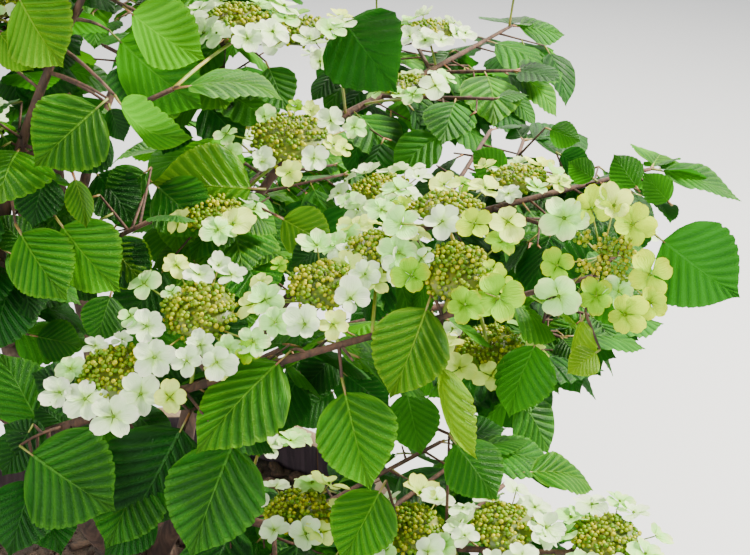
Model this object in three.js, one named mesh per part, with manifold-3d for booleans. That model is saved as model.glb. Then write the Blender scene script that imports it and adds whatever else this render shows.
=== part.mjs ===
// Potted doublefile viburnum in a half-barrel planter of staves and hoops.
// Millimetres, +Z up, the barrel's flat underside on z = 0 and its centre on the Z axis.
// The shrub is a stool, five stems, twelve boughs and seventeen masses of foliage and flower heads.

import * as THREE from 'three';
import { mergeVertices } from 'three/addons/utils/BufferGeometryUtils.js';
import Module from 'manifold-3d';

const wasm = await Module();
wasm.setup();

// Driving sizes of the barrel
const CLEAR = 0.3;
const BARREL = { height: 420, rimRadius: 300, footRadius: 260, thickness: 24, staves: 18, bends: 4 };
const HOOP = { width: 45, thickness: 2.5, lift: 0.33, centres: { low: 42, middle: 145, high: 268 } };
const BASE = { thickness: 20 };
const SOIL = { edge: 368, crown: 375, crownRadius: 150, steps: 2, slack: 2 };

// Driving sizes of the woody frame
const STOOL = {
  height: 88, footRadius: 60, neckRadius: 38, topRadius: 35, lean: [-4, -6],
  lobes: 5, lobeDepth: 0.16, sides: 15, steps: 4,
};
const FORK = { radius: 20, sink: 8 };
const STEM_FACETS = { sides: 8, steps: 6 };
const BOUGH_FACETS = { sides: 6, steps: 4 };
const TWIG_FACETS = { sides: 3, steps: 4 };
const STRAIGHT_FACETS = { sides: 3, steps: 1 };

// Each stem leaves the stool at its own bearing, bows outwards and then climbs to its tip.
// bow holds the shares of the way, along X, Y and Z, at which the curve's control point lies.
const STEM_BOW = [0.8, 0.8, 0.42];
const STEMS = {
  stem_front: { bearing: -105, tip: [-40, -209, 850], radii: [12, 6.2] },
  stem_right: { bearing: -25, tip: [120, -62, 810], radii: [11.5, 5.4] },
  stem_back_right: { bearing: 45, tip: [90, 130, 860], radii: [12, 5.8] },
  stem_back_left: { bearing: 118, tip: [-85, 150, 900], radii: [12, 6] },
  stem_left: { bearing: 190, tip: [-150, -20, 840], radii: [11.5, 5.6] },
};

// Each bough leaves its stem at a share of the stem's length, rises early and then flattens.
const BOUGH_BOW = [0.5, 0.5, 0.85];
const BOUGHS = {
  bough_front_right: { stem: 'stem_front', at: 0.74, tip: [-5, -285, 815], bow: [-0.2, 0.8, 0.65] },
  bough_right: { stem: 'stem_right', at: 0.62, tip: [240, -70, 862] },
  bough_back_right: { stem: 'stem_back_right', at: 0.68, tip: [210, 160, 885] },
  bough_back: { stem: 'stem_back_left', at: 0.7, tip: [-15, 290, 915] },
  bough_back_left: { stem: 'stem_back_left', at: 0.6, tip: [-255, 205, 885] },
  bough_left: { stem: 'stem_left', at: 0.7, tip: [-295, -15, 880] },
  bough_front_left: { stem: 'stem_left', at: 0.58, tip: [-185, -225, 880] },
  low_bough_front_right: { stem: 'stem_front', at: 0.42, tip: [120, -225, 690] },
  low_bough_right: { stem: 'stem_back_right', at: 0.36, tip: [245, 95, 680] },
  low_bough_back: { stem: 'stem_back_right', at: 0.5, tip: [75, 290, 700] },
  low_bough_left: { stem: 'stem_left', at: 0.4, tip: [-260, 60, 670] },
  low_bough_front: { stem: 'stem_front', at: 0.5, tip: [-110, -310, 690] },
};
const BOUGH_RADII = [5.6, 4];

// Each mass grows on from the tip of one limb. Leaders climb, and the others spread in flat tiers.
// heads holds where flower heads are set by hand, and leaves the foot and tip of leaves set by hand.
// claims adds places to the mass's own space, and a leafy mass has no flower heads but those set by hand.
const MASSES = {
  leader_front: {
    limb: 'stem_front', tip: [92, -202, 1190], seed: 3, upright: true,
    leaves: [
      [[66, -231, 1064], [17, -264, 1027]],
      [[73, -240, 1070], [129, -276, 1048]],
      [[2, -194, 1129], [40, -240, 1089]],
      [[-3, -257, 980], [40, -310, 948]],
      [[25, -255, 985], [75, -300, 948]],
      [[57, -164, 1090], [127, -203, 1043]],
      [[72, -180, 1113], [132, -209, 1082]],
      [[39, -246, 1015], [52, -275, 985]],
      [[-14, -198, 1103], [15, -222, 1080]],
      [[65, -226, 1058], [77, -245, 1037]],
      [[64, -218, 1037], [34, -243, 1014]],
    ],
    claims: [[30, -270, 985]],
    leafy: true,
  },
  leader_right: {
    limb: 'stem_right', tip: [130, -145, 945], seed: 5, upright: true,
    heads: [[126, -186, 954], [182, -114, 985]],
    leaves: [[[173, -182, 949], [220, -201, 930]], [[165, -160, 960], [78, -176, 974]]],
  },
  leader_back_right: { limb: 'stem_back_right', tip: [130, 150, 1235], seed: 7, upright: true },
  leader_back_left: { limb: 'stem_back_left', tip: [-105, 175, 1335], seed: 9, upright: true },
  leader_left: { limb: 'stem_left', tip: [-205, -55, 1215], seed: 11, upright: true },
  tier_front_right: {
    limb: 'bough_front_right', tip: [404, -270, 945], seed: 13, laidByHand: true,
    heads: [
      [412, -270, 962], [302, -237, 984], [307, -280, 956], [215, -285, 948], [252, -250, 955],
      [128, -297, 935], [69, -321, 898], [339, -234, 862],
    ],
    leaves: [
      [[0, -335, 845], [74, -381, 824]],
      [[117, -307, 854], [68, -360, 781]],
      [[155, -329, 856], [123, -398, 795]],
      [[192, -310, 909], [127, -370, 864]],
      [[289, -295, 945], [260, -348, 892]],
      [[227, -323, 895], [247, -379, 839]],
      [[296, -302, 902], [317, -360, 842]],
      [[372, -258, 888], [345, -302, 843]],
      [[449, -242, 966], [508, -284, 934]],
      [[398, -288, 926], [387, -319, 892]],
    ],
  },
  tier_right: {
    limb: 'bough_right', tip: [500, -5, 905], seed: 15, leafy: true,
    heads: [[254, -87, 925], [375, -65, 925]],
  },
  tier_back_right: {
    limb: 'bough_back_right', tip: [405, 335, 925], seed: 17,
    heads: [[221, 96, 972], [284, 108, 942], [309, 246, 951]],
    claims: [[235, 112, 950]],
  },
  tier_back: { limb: 'bough_back', tip: [-20, 545, 950], seed: 19 },
  tier_back_left: { limb: 'bough_back_left', tip: [-455, 320, 940], seed: 21 },
  tier_left: { limb: 'bough_left', tip: [-545, -35, 925], seed: 23 },
  tier_front_left: { limb: 'bough_front_left', tip: [-335, -430, 930], seed: 25 },
  low_front_right: {
    limb: 'low_bough_front_right', tip: [440, -312, 725], seed: 27,
    heads: [[192, -296, 753], [277, -305, 744], [349, -308, 748], [427, -309, 738]],
    leaves: [[[306, -278, 812], [342, -320, 780]], [[258, -318, 800], [225, -362, 758]]],
  },
  low_right: { limb: 'low_bough_right', tip: [515, 190, 690], seed: 29 },
  low_back: { limb: 'low_bough_back', tip: [170, 535, 705], seed: 31 },
  low_left: { limb: 'low_bough_left', tip: [-520, 170, 680], seed: 33 },
  low_front: { limb: 'low_bough_front', tip: [-250, -470, 700], seed: 35 },
};

// What is set by hand faces this place in front of the shrub and stays in open view from it.
const VIEWPOINT = new THREE.Vector3(250, -1037.8, 1387.5);

// Driving sizes of the foliage
const NODE_SPACING = 62;
const LEAF = {
  length: 84, spread: 14, widthShare: 0.72, thickness: 2.4, widest: 0.48,
  sink: 0.6, bare: 0.08, step: 5, roll: 0.7,
};
const HEAD = {
  radius: 41, spread: 4, laidRadius: 44, depth: 7, rise: 15, shoulder: 0.55, sides: 6,
  nearest: 1, nearestLaid: 0.45, lean: 0.004,
};
const STAGGER = 0.05;
const PEDUNCLE = { length: 52, radius: 1.5 };
const TWIG = { tipRadius: 1.8, branchRadius: 2.4, spur: 29 };
const BRANCH = {
  share: 0.5, longest: 150, nodes: 2, at: 0.02, fade: 1.25, forward: 0.6, lift: 0.1, length: [0.85, 0.3],
};

// A range holds its least value and its width. The second leaf of a shoot is smaller and points more onwards.
const SHOOT = {
  at: 0.3, droop: [0.3, 0.6], forward: [0.2, 0.3], rise: [0.85, 0.3], reach: 0.3, second: 0.85, secondSide: 0.5,
};
const TIP = { leaf: 0.95, spread: 0.95, droop: 0.35, headOn: 6, flowerShare: 0.5 };
const MASS_EASE = 0.4;
const FLOWER_SHARE = 0.36;
const SPACE_MARGIN = 3;
const LIMB_MARGIN = 3;
const WELD = 0.05;

// Finishes
const WOOD = new THREE.MeshStandardMaterial({ color: 0x8f6a50, roughness: 0.75, metalness: 0 });
const STEEL = new THREE.MeshStandardMaterial({ color: 0x5f7684, roughness: 0.5, metalness: 0.8 });
const EARTH = new THREE.MeshStandardMaterial({ color: 0x3d2f2a, roughness: 0.95, metalness: 0 });
const BARK = new THREE.MeshStandardMaterial({ color: 0x5f4338, roughness: 0.85, metalness: 0 });
const FOLIAGE = new THREE.MeshStandardMaterial({ color: 0x4f8f2a, roughness: 0.6, metalness: 0 });

const plant = new THREE.Group();
const UP = new THREE.Vector3(0, 0, 1);

function vector([x, y, z]) {
  return new THREE.Vector3(x, y, z);
}

// A closed solid from a three.js geometry, with its shared corners merged
function solid(geometry) {
  geometry.deleteAttribute('normal');
  geometry.deleteAttribute('uv');
  const merged = mergeVertices(geometry, 1e-4);
  const kept = [];
  const index = merged.index.array;
  for (let i = 0; i < index.length; i += 3) {
    const [a, b, c] = [index[i], index[i + 1], index[i + 2]];
    if (a !== b && b !== c && c !== a) {
      kept.push(a, b, c);
    }
  }
  const vertProperties = new Float32Array(merged.attributes.position.array);
  return new wasm.Manifold(new wasm.Mesh({ numProp: 3, vertProperties, triVerts: new Uint32Array(kept) }));
}

// The largest piece of a solid, without the loose scraps that a cut leaves
function largest(shape) {
  return shape.decompose().reduce((best, piece) => (piece.volume() > best.volume() ? piece : best));
}

function addSolid(name, shape, material) {
  const { vertProperties, triVerts } = shape.getMesh();
  const geometry = new THREE.BufferGeometry();
  geometry.setAttribute('position', new THREE.BufferAttribute(new Float32Array(vertProperties), 3));
  geometry.setIndex(new THREE.BufferAttribute(new Uint32Array(triVerts), 1));
  geometry.computeVertexNormals();
  addMesh(name, geometry, material);
}

function addMesh(name, geometry, material) {
  const mesh = new THREE.Mesh(geometry, material);
  mesh.name = name;
  plant.add(mesh);
}

// The barrel's outer radius, which grows from its foot to its widest place at the rim
function barrelRadius(z) {
  const below = 1 - z / BARREL.height;
  return BARREL.rimRadius - (BARREL.rimRadius - BARREL.footRadius) * below * below;
}

// One stave is a board bent to the barrel's round and to its bulge
function stave(number) {
  const turn = (2 * Math.PI) / BARREL.staves;
  const board = new THREE.BoxGeometry(1, 1, 1, 2, 1, BARREL.bends);
  const place = board.attributes.position;
  for (let i = 0; i < place.count; i += 1) {
    const z = (place.getZ(i) + 0.5) * BARREL.height;
    const radius = barrelRadius(z) - (0.5 - place.getY(i)) * BARREL.thickness;
    const half = turn / 2 - CLEAR / 2 / radius;
    const angle = turn * number - place.getX(i) * 2 * half;
    place.setXYZ(i, radius * Math.cos(angle), radius * Math.sin(angle), z);
  }
  return board;
}

const STAVE_SEGMENTS = 2 * BARREL.staves;

// The staves' outer radius between two of their bends, where they run straight
function straightRadius(z) {
  const step = BARREL.height / BARREL.bends;
  const low = Math.floor(z / step) * step;
  return THREE.MathUtils.mapLinear(z, low, low + step, barrelRadius(low), barrelRadius(low + step));
}

// A hoop is a flat band that follows the slope of the staves
function hoop(centre) {
  const points = [];
  for (const [side, out] of [[-1, 0], [-1, 1], [1, 1], [1, 0], [-1, 0]]) {
    const z = centre + (side * HOOP.width) / 2;
    points.push(new THREE.Vector2(straightRadius(z) + HOOP.lift + out * HOOP.thickness, z));
  }
  return turned(points);
}

// A lathe shape whose corners line up with the staves' corners
function turned(points) {
  const shape = new THREE.LatheGeometry(points, STAVE_SEGMENTS);
  shape.rotateX(Math.PI / 2);
  shape.rotateZ(Math.PI / 2);
  return shape;
}

function innerRadius(z) {
  return barrelRadius(z) - BARREL.thickness - 2 * CLEAR;
}

function baseBoard() {
  return turned([
    new THREE.Vector2(0, 0),
    new THREE.Vector2(innerRadius(0), 0),
    new THREE.Vector2(innerRadius(BASE.thickness) - CLEAR, BASE.thickness),
    new THREE.Vector2(0, BASE.thickness),
  ]);
}

function soil() {
  const foot = BASE.thickness + CLEAR;
  const points = [new THREE.Vector2(0, foot)];
  for (let step = 0; step <= SOIL.steps; step += 1) {
    const z = foot + ((SOIL.edge - foot) * step) / SOIL.steps;
    points.push(new THREE.Vector2(innerRadius(z) - SOIL.slack, z));
  }
  points.push(new THREE.Vector2(SOIL.crownRadius, SOIL.crown), new THREE.Vector2(0, SOIL.crown));
  return turned(points);
}

// The point and the heading of a curve with one control point
function bend(curve, share) {
  const rest = 1 - share;
  return new THREE.Vector3()
    .addScaledVector(curve.from, rest * rest)
    .addScaledVector(curve.control, 2 * rest * share)
    .addScaledVector(curve.to, share * share);
}

function heading(curve, share) {
  const first = curve.control.clone().sub(curve.from).multiplyScalar(1 - share);
  const second = curve.to.clone().sub(curve.control).multiplyScalar(share);
  return first.add(second).normalize();
}

// A tapering limb: a cylinder bent along its curve
function taperedLimb(curve, fromRadius, toRadius, { sides, steps }) {
  const shape = new THREE.CylinderGeometry(1, 1, 1, sides, steps);
  const place = shape.attributes.position;
  const chord = curve.to.clone().sub(curve.from).normalize();
  const reference = Math.abs(chord.z) > 0.75 ? new THREE.Vector3(0, 1, 0) : UP;
  for (let i = 0; i < place.count; i += 1) {
    const share = place.getY(i) + 0.5;
    const along = heading(curve, share);
    const across = new THREE.Vector3().crossVectors(reference, along).normalize();
    const over = new THREE.Vector3().crossVectors(across, along);
    const radius = fromRadius + (toRadius - fromRadius) * share;
    const point = bend(curve, share)
      .addScaledVector(across, place.getX(i) * radius)
      .addScaledVector(over, place.getZ(i) * radius);
    place.setXYZ(i, point.x, point.y, point.z);
  }
  return shape;
}

function curveBetween(from, to, bow) {
  const control = new THREE.Vector3(
    from.x + (to.x - from.x) * bow[0],
    from.y + (to.y - from.y) * bow[1],
    from.z + (to.z - from.z) * bow[2],
  );
  return { from, control, to };
}

// The stool: a short leaning trunk whose foot flares into root lobes at the soil
function stool(extra) {
  const shape = new THREE.CylinderGeometry(1, 1, 1, STOOL.sides, STOOL.steps);
  const place = shape.attributes.position;
  const foot = SOIL.crown + CLEAR - extra;
  for (let i = 0; i < place.count; i += 1) {
    const share = place.getY(i) + 0.5;
    const flare = (1 - share) ** 3;
    const angle = Math.atan2(place.getX(i), place.getZ(i));
    const lobe = 1 + STOOL.lobeDepth * flare * Math.cos(STOOL.lobes * angle);
    const plain = STOOL.neckRadius + (STOOL.topRadius - STOOL.neckRadius) * share;
    const radius = (plain + (STOOL.footRadius - STOOL.neckRadius) * flare) * lobe + extra;
    const rim = Math.hypot(place.getX(i), place.getZ(i));
    place.setXYZ(
      i,
      STOOL.lean[0] * share + Math.sin(angle) * radius * rim,
      STOOL.lean[1] * share - Math.cos(angle) * radius * rim,
      foot + share * (STOOL.height + 2 * extra),
    );
  }
  return shape;
}

// The woody frame: every limb's curve and radii by name
const limbs = {};

function planStems() {
  const top = SOIL.crown + CLEAR + STOOL.height;
  for (const [name, stem] of Object.entries(STEMS)) {
    const bearing = THREE.MathUtils.degToRad(stem.bearing);
    const from = new THREE.Vector3(
      STOOL.lean[0] + FORK.radius * Math.cos(bearing),
      STOOL.lean[1] + FORK.radius * Math.sin(bearing),
      top - FORK.sink,
    );
    limbs[name] = { curve: curveBetween(from, vector(stem.tip), STEM_BOW), radii: stem.radii };
  }
}

function planBoughs() {
  for (const [name, bough] of Object.entries(BOUGHS)) {
    const from = bend(limbs[bough.stem].curve, bough.at);
    const curve = curveBetween(from, vector(bough.tip), bough.bow ?? BOUGH_BOW);
    limbs[name] = { curve, radii: BOUGH_RADII, stem: bough.stem };
  }
}

function addWood() {
  const stoolSolid = solid(stool(0));
  const stoolGrown = solid(stool(CLEAR));
  addSolid('stool', stoolSolid, BARK);
  for (const name of Object.keys(STEMS)) {
    const { curve, radii } = limbs[name];
    const shape = solid(taperedLimb(curve, radii[0], radii[1], STEM_FACETS));
    addSolid(name, largest(shape.subtract(stoolGrown)), BARK);
  }
  for (const name of Object.keys(BOUGHS)) {
    const { curve, radii, stem } = limbs[name];
    const parent = limbs[stem];
    const grown = solid(taperedLimb(parent.curve, parent.radii[0] + CLEAR, parent.radii[1] + CLEAR, STEM_FACETS));
    const shape = solid(taperedLimb(curve, radii[0], radii[1], BOUGH_FACETS));
    addSolid(name, largest(shape.subtract(grown)), BARK);
  }
}

// A repeatable stream of numbers from 0 to 1 that starts from a seed
function seeded(seed) {
  let state = seed * 7919 + 104729;
  return () => {
    state = (1664525 * state + 1013904223) % 4294967296;
    return state / 4294967296;
  };
}

// A mass's own curve carries its limb on, from just past the limb's tip
function planMass(name) {
  const mass = MASSES[name];
  const limb = limbs[mass.limb];
  const along = heading(limb.curve, 1);
  const from = limb.curve.to.clone().addScaledVector(along, CLEAR);
  const to = vector(mass.tip);
  const control = from.clone().addScaledVector(along, MASS_EASE * from.distanceTo(to));
  return { curve: { from, control, to }, startRadius: limb.radii[1] };
}

const plans = {};

// The places along each mass's curve that claim the space nearest to them
const CLAIM_SHARES = [0, 0.2, 0.4, 0.6, 0.8, 1];

function planMasses() {
  for (const name of Object.keys(MASSES)) {
    const plan = planMass(name);
    plan.claims = CLAIM_SHARES.map((share) => bend(plan.curve, share));
    plan.claims.push(...(MASSES[name].claims ?? []).map(vector));
    plans[name] = plan;
  }
}

function nearestClaim(name, point) {
  return Math.min(...plans[name].claims.map((claim) => claim.distanceTo(point)));
}

function inOwnSpace(name, points) {
  return points.every((point) => {
    const own = nearestClaim(name, point);
    return Object.keys(plans).every((other) => other === name || nearestClaim(other, point) > own + SPACE_MARGIN);
  });
}

const LIMB_STEPS = 8;

function distanceToSegment(point, a, b) {
  const way = b.clone().sub(a);
  const share = Math.min(1, Math.max(0, point.clone().sub(a).dot(way) / way.lengthSq()));
  return a.clone().addScaledVector(way, share).distanceTo(point);
}

function clearOfLimbs(points) {
  return Object.values(limbs).every(({ curve, radii }) => {
    for (let step = 0; step < LIMB_STEPS; step += 1) {
      const a = bend(curve, step / LIMB_STEPS);
      const b = bend(curve, (step + 1) / LIMB_STEPS);
      const radius = radii[0] + ((radii[1] - radii[0]) * step) / LIMB_STEPS;
      if (points.some((point) => distanceToSegment(point, a, b) < radius + LIMB_MARGIN)) {
        return false;
      }
    }
    return true;
  });
}

// The places of a leaf that must keep to the mass's space, as shares of its length and of its half width
const LEAF_PLACES = [[0.25, 0], [0.5, 0], [0.75, 0], [1, 0], [0.45, 1], [0.45, -1], [0.7, 0.5], [0.7, -0.5]];

function leafPoints(leaf) {
  const points = [];
  for (const [along, across] of LEAF_PLACES) {
    points.push(
      leaf.foot.clone()
        .addScaledVector(leaf.along, along * leaf.length)
        .addScaledVector(leaf.across, (across * leaf.width) / 2),
    );
  }
  return points;
}

function headPoints(head) {
  const points = [head.centre.clone().addScaledVector(UP, HEAD.rise)];
  for (let step = 0; step < 6; step += 1) {
    const angle = (step * Math.PI) / 3;
    const offset = new THREE.Vector3(Math.cos(angle), Math.sin(angle), 0);
    points.push(head.centre.clone().addScaledVector(offset, head.radius));
  }
  return points;
}

// One leaf: its foot, its heading, and across it a direction turned by roll about the heading
function makeLeaf(foot, way, length, roll) {
  const along = way.clone().normalize();
  const across = new THREE.Vector3().crossVectors(UP, along).normalize().applyAxisAngle(along, roll);
  return { foot, along, across, length, width: length * LEAF.widthShare };
}

// A leaf set by hand, whose blade faces the viewpoint
function laidLeaf(foot, tip) {
  const from = vector(foot);
  const way = vector(tip).sub(from);
  const leaf = makeLeaf(from, way, way.length(), 0);
  leaf.across = VIEWPOINT.clone().sub(from).cross(leaf.along).normalize();
  return leaf;
}

// Places on everything that is set by hand, which nothing else may hide from the viewpoint
const sights = [];

function sightEnds() {
  if (sights.length === 0) {
    for (const mass of Object.values(MASSES)) {
      for (const [foot, tip] of mass.leaves ?? []) {
        sights.push(...leafPoints(laidLeaf(foot, tip)));
      }
      for (const place of mass.heads ?? []) {
        sights.push(...headPoints({ centre: vector(place), radius: HEAD.laidRadius }));
      }
    }
  }
  return sights;
}

// The corners of a leaf's outline, from just past its foot and round by its right edge
function leafCorners(leaf) {
  const corners = [];
  for (const [along, across] of [[LEAF.bare, 0], [LEAF.widest, 1], [1, 0], [LEAF.widest, -1]]) {
    corners.push(
      leaf.foot.clone()
        .addScaledVector(leaf.along, along * leaf.length)
        .addScaledVector(leaf.across, (across * leaf.width) / 2),
    );
  }
  return corners;
}

// Whether the way from a to b passes through the triangle p, q, r
function passesThrough(a, b, p, q, r) {
  const way = b.clone().sub(a);
  const first = q.clone().sub(p);
  const second = r.clone().sub(p);
  const normal = new THREE.Vector3().crossVectors(way, second);
  const size = first.dot(normal);
  if (Math.abs(size) < 1e-9) {
    return false;
  }
  const start = a.clone().sub(p);
  const u = start.dot(normal) / size;
  const turned = new THREE.Vector3().crossVectors(start, first);
  const v = way.dot(turned) / size;
  const share = second.dot(turned) / size;
  return u >= 0 && v >= 0 && u + v <= 1 && share >= 0 && share <= 1;
}

function passesLeaf(a, b, corners) {
  const [foot, right, tip, left] = corners;
  return passesThrough(a, b, foot, right, left) || passesThrough(a, b, tip, left, right);
}

function leavesCross(one, two) {
  return one.some((corner, i) => passesLeaf(corner, one[(i + 1) % 4], two))
    || two.some((corner, i) => passesLeaf(corner, two[(i + 1) % 4], one));
}

// Whether a leaf's outline comes into the flat round of a head, or passes it
function leafMeetsHead(corners, head) {
  const { centre, radius } = head;
  const near = (point) => Math.hypot(point.x - centre.x, point.y - centre.y) < radius;
  const points = corners.concat(corners.map((corner, i) => corner.clone().lerp(corners[(i + 1) % 4], 0.5)));
  points.push(corners[0].clone().lerp(corners[2], 0.5));
  if (points.some((point) => near(point) && Math.abs(point.z - centre.z) < HEAD.rise)) {
    return true;
  }
  return [0, 1, 2].some((step) => {
    const offset = new THREE.Vector3(Math.cos(step * 1.05), Math.sin(step * 1.05), 0).multiplyScalar(radius);
    return passesLeaf(centre.clone().sub(offset), centre.clone().add(offset), corners);
  });
}

// Whether the way from a to b passes through the flat round of a head
function passesHead(a, b, head) {
  const share = (head.centre.z - a.z) / (b.z - a.z);
  if (!(share >= 0 && share <= 1)) {
    return false;
  }
  const point = a.clone().lerp(b, share);
  return Math.hypot(point.x - head.centre.x, point.y - head.centre.y) < head.radius;
}

// What grows in one mass: its twigs, its leaves and its flower heads
function growMass(name) {
  const mass = MASSES[name];
  const { curve, startRadius } = plans[name];
  const draw = seeded(mass.seed);
  const growth = { twigs: [], leaves: [], heads: [] };
  const shoots = [];
  const length = curve.from.distanceTo(curve.to);
  const nodes = Math.max(1, Math.round(length / NODE_SPACING));

  function twig(from, to, fromRadius, toRadius) {
    const points = [0.35, 0.7, 1].map((share) => from.clone().lerp(to, share));
    if (!inOwnSpace(name, points) || !clearOfLimbs(points)) {
      return false;
    }
    const control = from.clone().lerp(to, 0.5);
    growth.twigs.push({ curve: { from, control, to }, radii: [fromRadius, toRadius], facets: STRAIGHT_FACETS });
    return true;
  }

  // Tiers keep their shoots level on both sides, and leaders turn each pair by a right angle
  function sideOf(along, hand, number) {
    if (!mass.upright) {
      return new THREE.Vector3().crossVectors(along, UP).normalize().multiplyScalar(hand);
    }
    const bearing = mass.seed + (number * Math.PI) / 2;
    return new THREE.Vector3(Math.cos(bearing), Math.sin(bearing), 0).multiplyScalar(hand);
  }

  function leafPlan(way, scale) {
    const length = (LEAF.length + LEAF.spread * (2 * draw() - 1)) * scale;
    return { way, length, roll: LEAF.roll * (draw() - 0.5) };
  }

  // A short shoot to one side of a node: a head over a pair of leaves, or one leaf alone
  function planShoot(node, along, side) {
    const flowers = draw() < FLOWER_SHARE;
    const droop = drawIn(SHOOT.droop);
    const forward = drawIn(SHOOT.forward);
    const rise = PEDUNCLE.length * drawIn(SHOOT.rise);
    const outward = side.clone().addScaledVector(along, forward).addScaledVector(UP, -droop);
    const onward = along.clone().addScaledVector(side, SHOOT.secondSide).addScaledVector(UP, -droop);
    const centre = node.clone().addScaledVector(side, TWIG.spur + SHOOT.reach * rise).addScaledVector(UP, rise);
    const leaves = [leafPlan(outward, 1), leafPlan(onward, SHOOT.second)];
    shoots.push({ node, along, centre, flowers, radius: headRadius(), leaves });
  }

  function drawIn([least, width]) {
    return least + width * draw();
  }

  function headRadius() {
    return HEAD.radius + HEAD.spread * (2 * draw() - 1);
  }

  // The node pairs of one twig, and the leaves and head at its tip
  function planTwig(twigCurve, twigNodes, first) {
    for (let number = first; number < twigNodes; number += 1) {
      for (const hand of [1, -1]) {
        const share = (number + SHOOT.at + STAGGER * hand) / twigNodes;
        const along = heading(twigCurve, share);
        planShoot(bend(twigCurve, share), along, sideOf(along, hand, number));
      }
    }
    const along = heading(twigCurve, 1);
    const leaves = [1, -1].map((hand) => {
      const way = along.clone().addScaledVector(sideOf(along, hand, 0), TIP.spread).addScaledVector(UP, -TIP.droop);
      return leafPlan(way, TIP.leaf);
    });
    const tip = twigCurve.to;
    const centre = tip.clone().addScaledVector(UP, PEDUNCLE.length).addScaledVector(along, TIP.headOn);
    const flowers = draw() < TIP.flowerShare;
    shoots.push({ node: tip, along: along.negate(), centre, flowers, radius: headRadius(), leaves, atTip: true });
  }

  // A pair of side branches, in the tier's plane or climbing beside a leader
  function addBranches(number) {
    for (const hand of [1, -1]) {
      const share = (number + BRANCH.at - STAGGER * hand) / nodes;
      const from = bend(curve, share);
      const along = heading(curve, share);
      const reach = Math.min(BRANCH.longest, BRANCH.share * length * (BRANCH.fade - share));
      const side = sideOf(along, hand, number + 1);
      const way = along.multiplyScalar(BRANCH.forward).add(side).addScaledVector(UP, BRANCH.lift * draw());
      const to = from.clone().addScaledVector(way.normalize(), reach * drawIn(BRANCH.length));
      if (twig(from, to, TWIG.branchRadius, TWIG.tipRadius)) {
        planTwig({ from, control: from.clone().lerp(to, 0.5), to }, BRANCH.nodes, 1);
      }
    }
  }

  function addHead({ node, along, centre, radius }, nearest) {
    const foot = node.clone().addScaledVector(along, LEAF.step);
    const face = centre.clone().sub(node).setZ(0).multiplyScalar(HEAD.lean).add(UP).normalize();
    const head = { foot, centre, radius, face };
    const hides = nearest === HEAD.nearest && sightEnds().some((end) => passesHead(VIEWPOINT, end, head));
    const touches = growth.heads.some((other) => (
      other.centre.distanceTo(centre) < nearest * (other.radius + radius)
    ));
    const points = headPoints(head).concat([node.clone().lerp(centre, 0.4), node.clone().lerp(centre, 0.7)]);
    const pierced = growth.twigs.some(({ curve: way }) => [0, 0.25, 0.5, 0.75].some((share) => (
      passesHead(bend(way, share), bend(way, share + 0.25), head)
    )));
    if (hides || touches || pierced || !inOwnSpace(name, points) || !clearOfLimbs(points)) {
      return false;
    }
    growth.heads.push(head);
    return true;
  }

  function addLeaf(leaf) {
    const corners = leafCorners(leaf);
    if (!inOwnSpace(name, leafPoints(leaf)) || !clearOfLimbs(leafPoints(leaf))) {
      return;
    }
    const crosses = sightEnds().some((end) => passesLeaf(VIEWPOINT, end, corners))
      || growth.leaves.some((other) => leavesCross(corners, leafCorners(other)))
      || growth.heads.some((head) => leafMeetsHead(corners, head))
      || growth.twigs.some(({ curve: way }) => passesLeaf(way.from, way.to, corners))
      || growth.heads.some((head) => passesLeaf(head.foot, head.centre, corners));
    if (!crosses) {
      growth.leaves.push(leaf);
    }
  }

  function addLaidLeaf([foot, tip]) {
    const leaf = laidLeaf(foot, tip);
    const node = nearestNode(curve, leaf.foot);
    if (inOwnSpace(name, leafPoints(leaf)) && twig(node, leaf.foot, TWIG.tipRadius, TWIG.tipRadius)) {
      growth.leaves.push(leaf);
    }
  }

  growth.twigs.push({ curve, radii: [startRadius, TWIG.tipRadius], facets: TWIG_FACETS });
  for (const place of mass.heads ?? []) {
    const centre = vector(place);
    const node = nearestNode(curve, centre.clone().addScaledVector(UP, -PEDUNCLE.length));
    addHead({ node, along: new THREE.Vector3(), centre, radius: HEAD.laidRadius }, HEAD.nearestLaid);
  }
  (mass.leaves ?? []).forEach(addLaidLeaf);
  if (!mass.laidByHand) {
    planTwig(curve, nodes, 0);
    for (let number = 1; number < nodes - 1; number += mass.upright ? 2 : 1) {
      addBranches(number);
    }
  }
  const flowering = shoots.filter((shoot) => shoot.flowers && !mass.leafy && addHead(shoot, HEAD.nearest));
  for (const shoot of shoots) {
    const pair = flowering.includes(shoot) || shoot.atTip;
    (pair ? shoot.leaves : shoot.leaves.slice(0, 1)).forEach((plan, i) => {
      const foot = shoot.node.clone().addScaledVector(shoot.along, shoot.atTip ? 0 : 2 * i * LEAF.step);
      addLeaf(makeLeaf(foot, plan.way, plan.length, plan.roll));
    });
  }
  return growth;
}

// The point of a mass's curve that lies nearest to a place
function nearestNode(curve, place) {
  let best = bend(curve, 0.05);
  for (let step = 2; step <= 20; step += 1) {
    const point = bend(curve, step / 20);
    if (point.distanceTo(place) < best.distanceTo(place)) {
      best = point;
    }
  }
  return best;
}

// A leaf as a low four-sided roof over its outline, with the ridge nearer to its foot
function leafSolid(leaf) {
  const shape = new THREE.ConeGeometry(1, 1, 4);
  const place = shape.attributes.position;
  const over = new THREE.Vector3().crossVectors(leaf.along, leaf.across);
  const length = leaf.length + LEAF.sink;
  for (let i = 0; i < place.count; i += 1) {
    const lengthwise = place.getZ(i);
    const raised = place.getY(i) > 0;
    const share = Math.abs(lengthwise) < 0.5 ? LEAF.widest : (lengthwise + 1) / 2;
    const point = leaf.foot.clone()
      .addScaledVector(leaf.along, share * length - LEAF.sink)
      .addScaledVector(leaf.across, (place.getX(i) * leaf.width) / 2)
      .addScaledVector(over, raised ? LEAF.thickness : 0);
    place.setXYZ(i, point.x, point.y, point.z);
  }
  return solid(shape);
}

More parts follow.
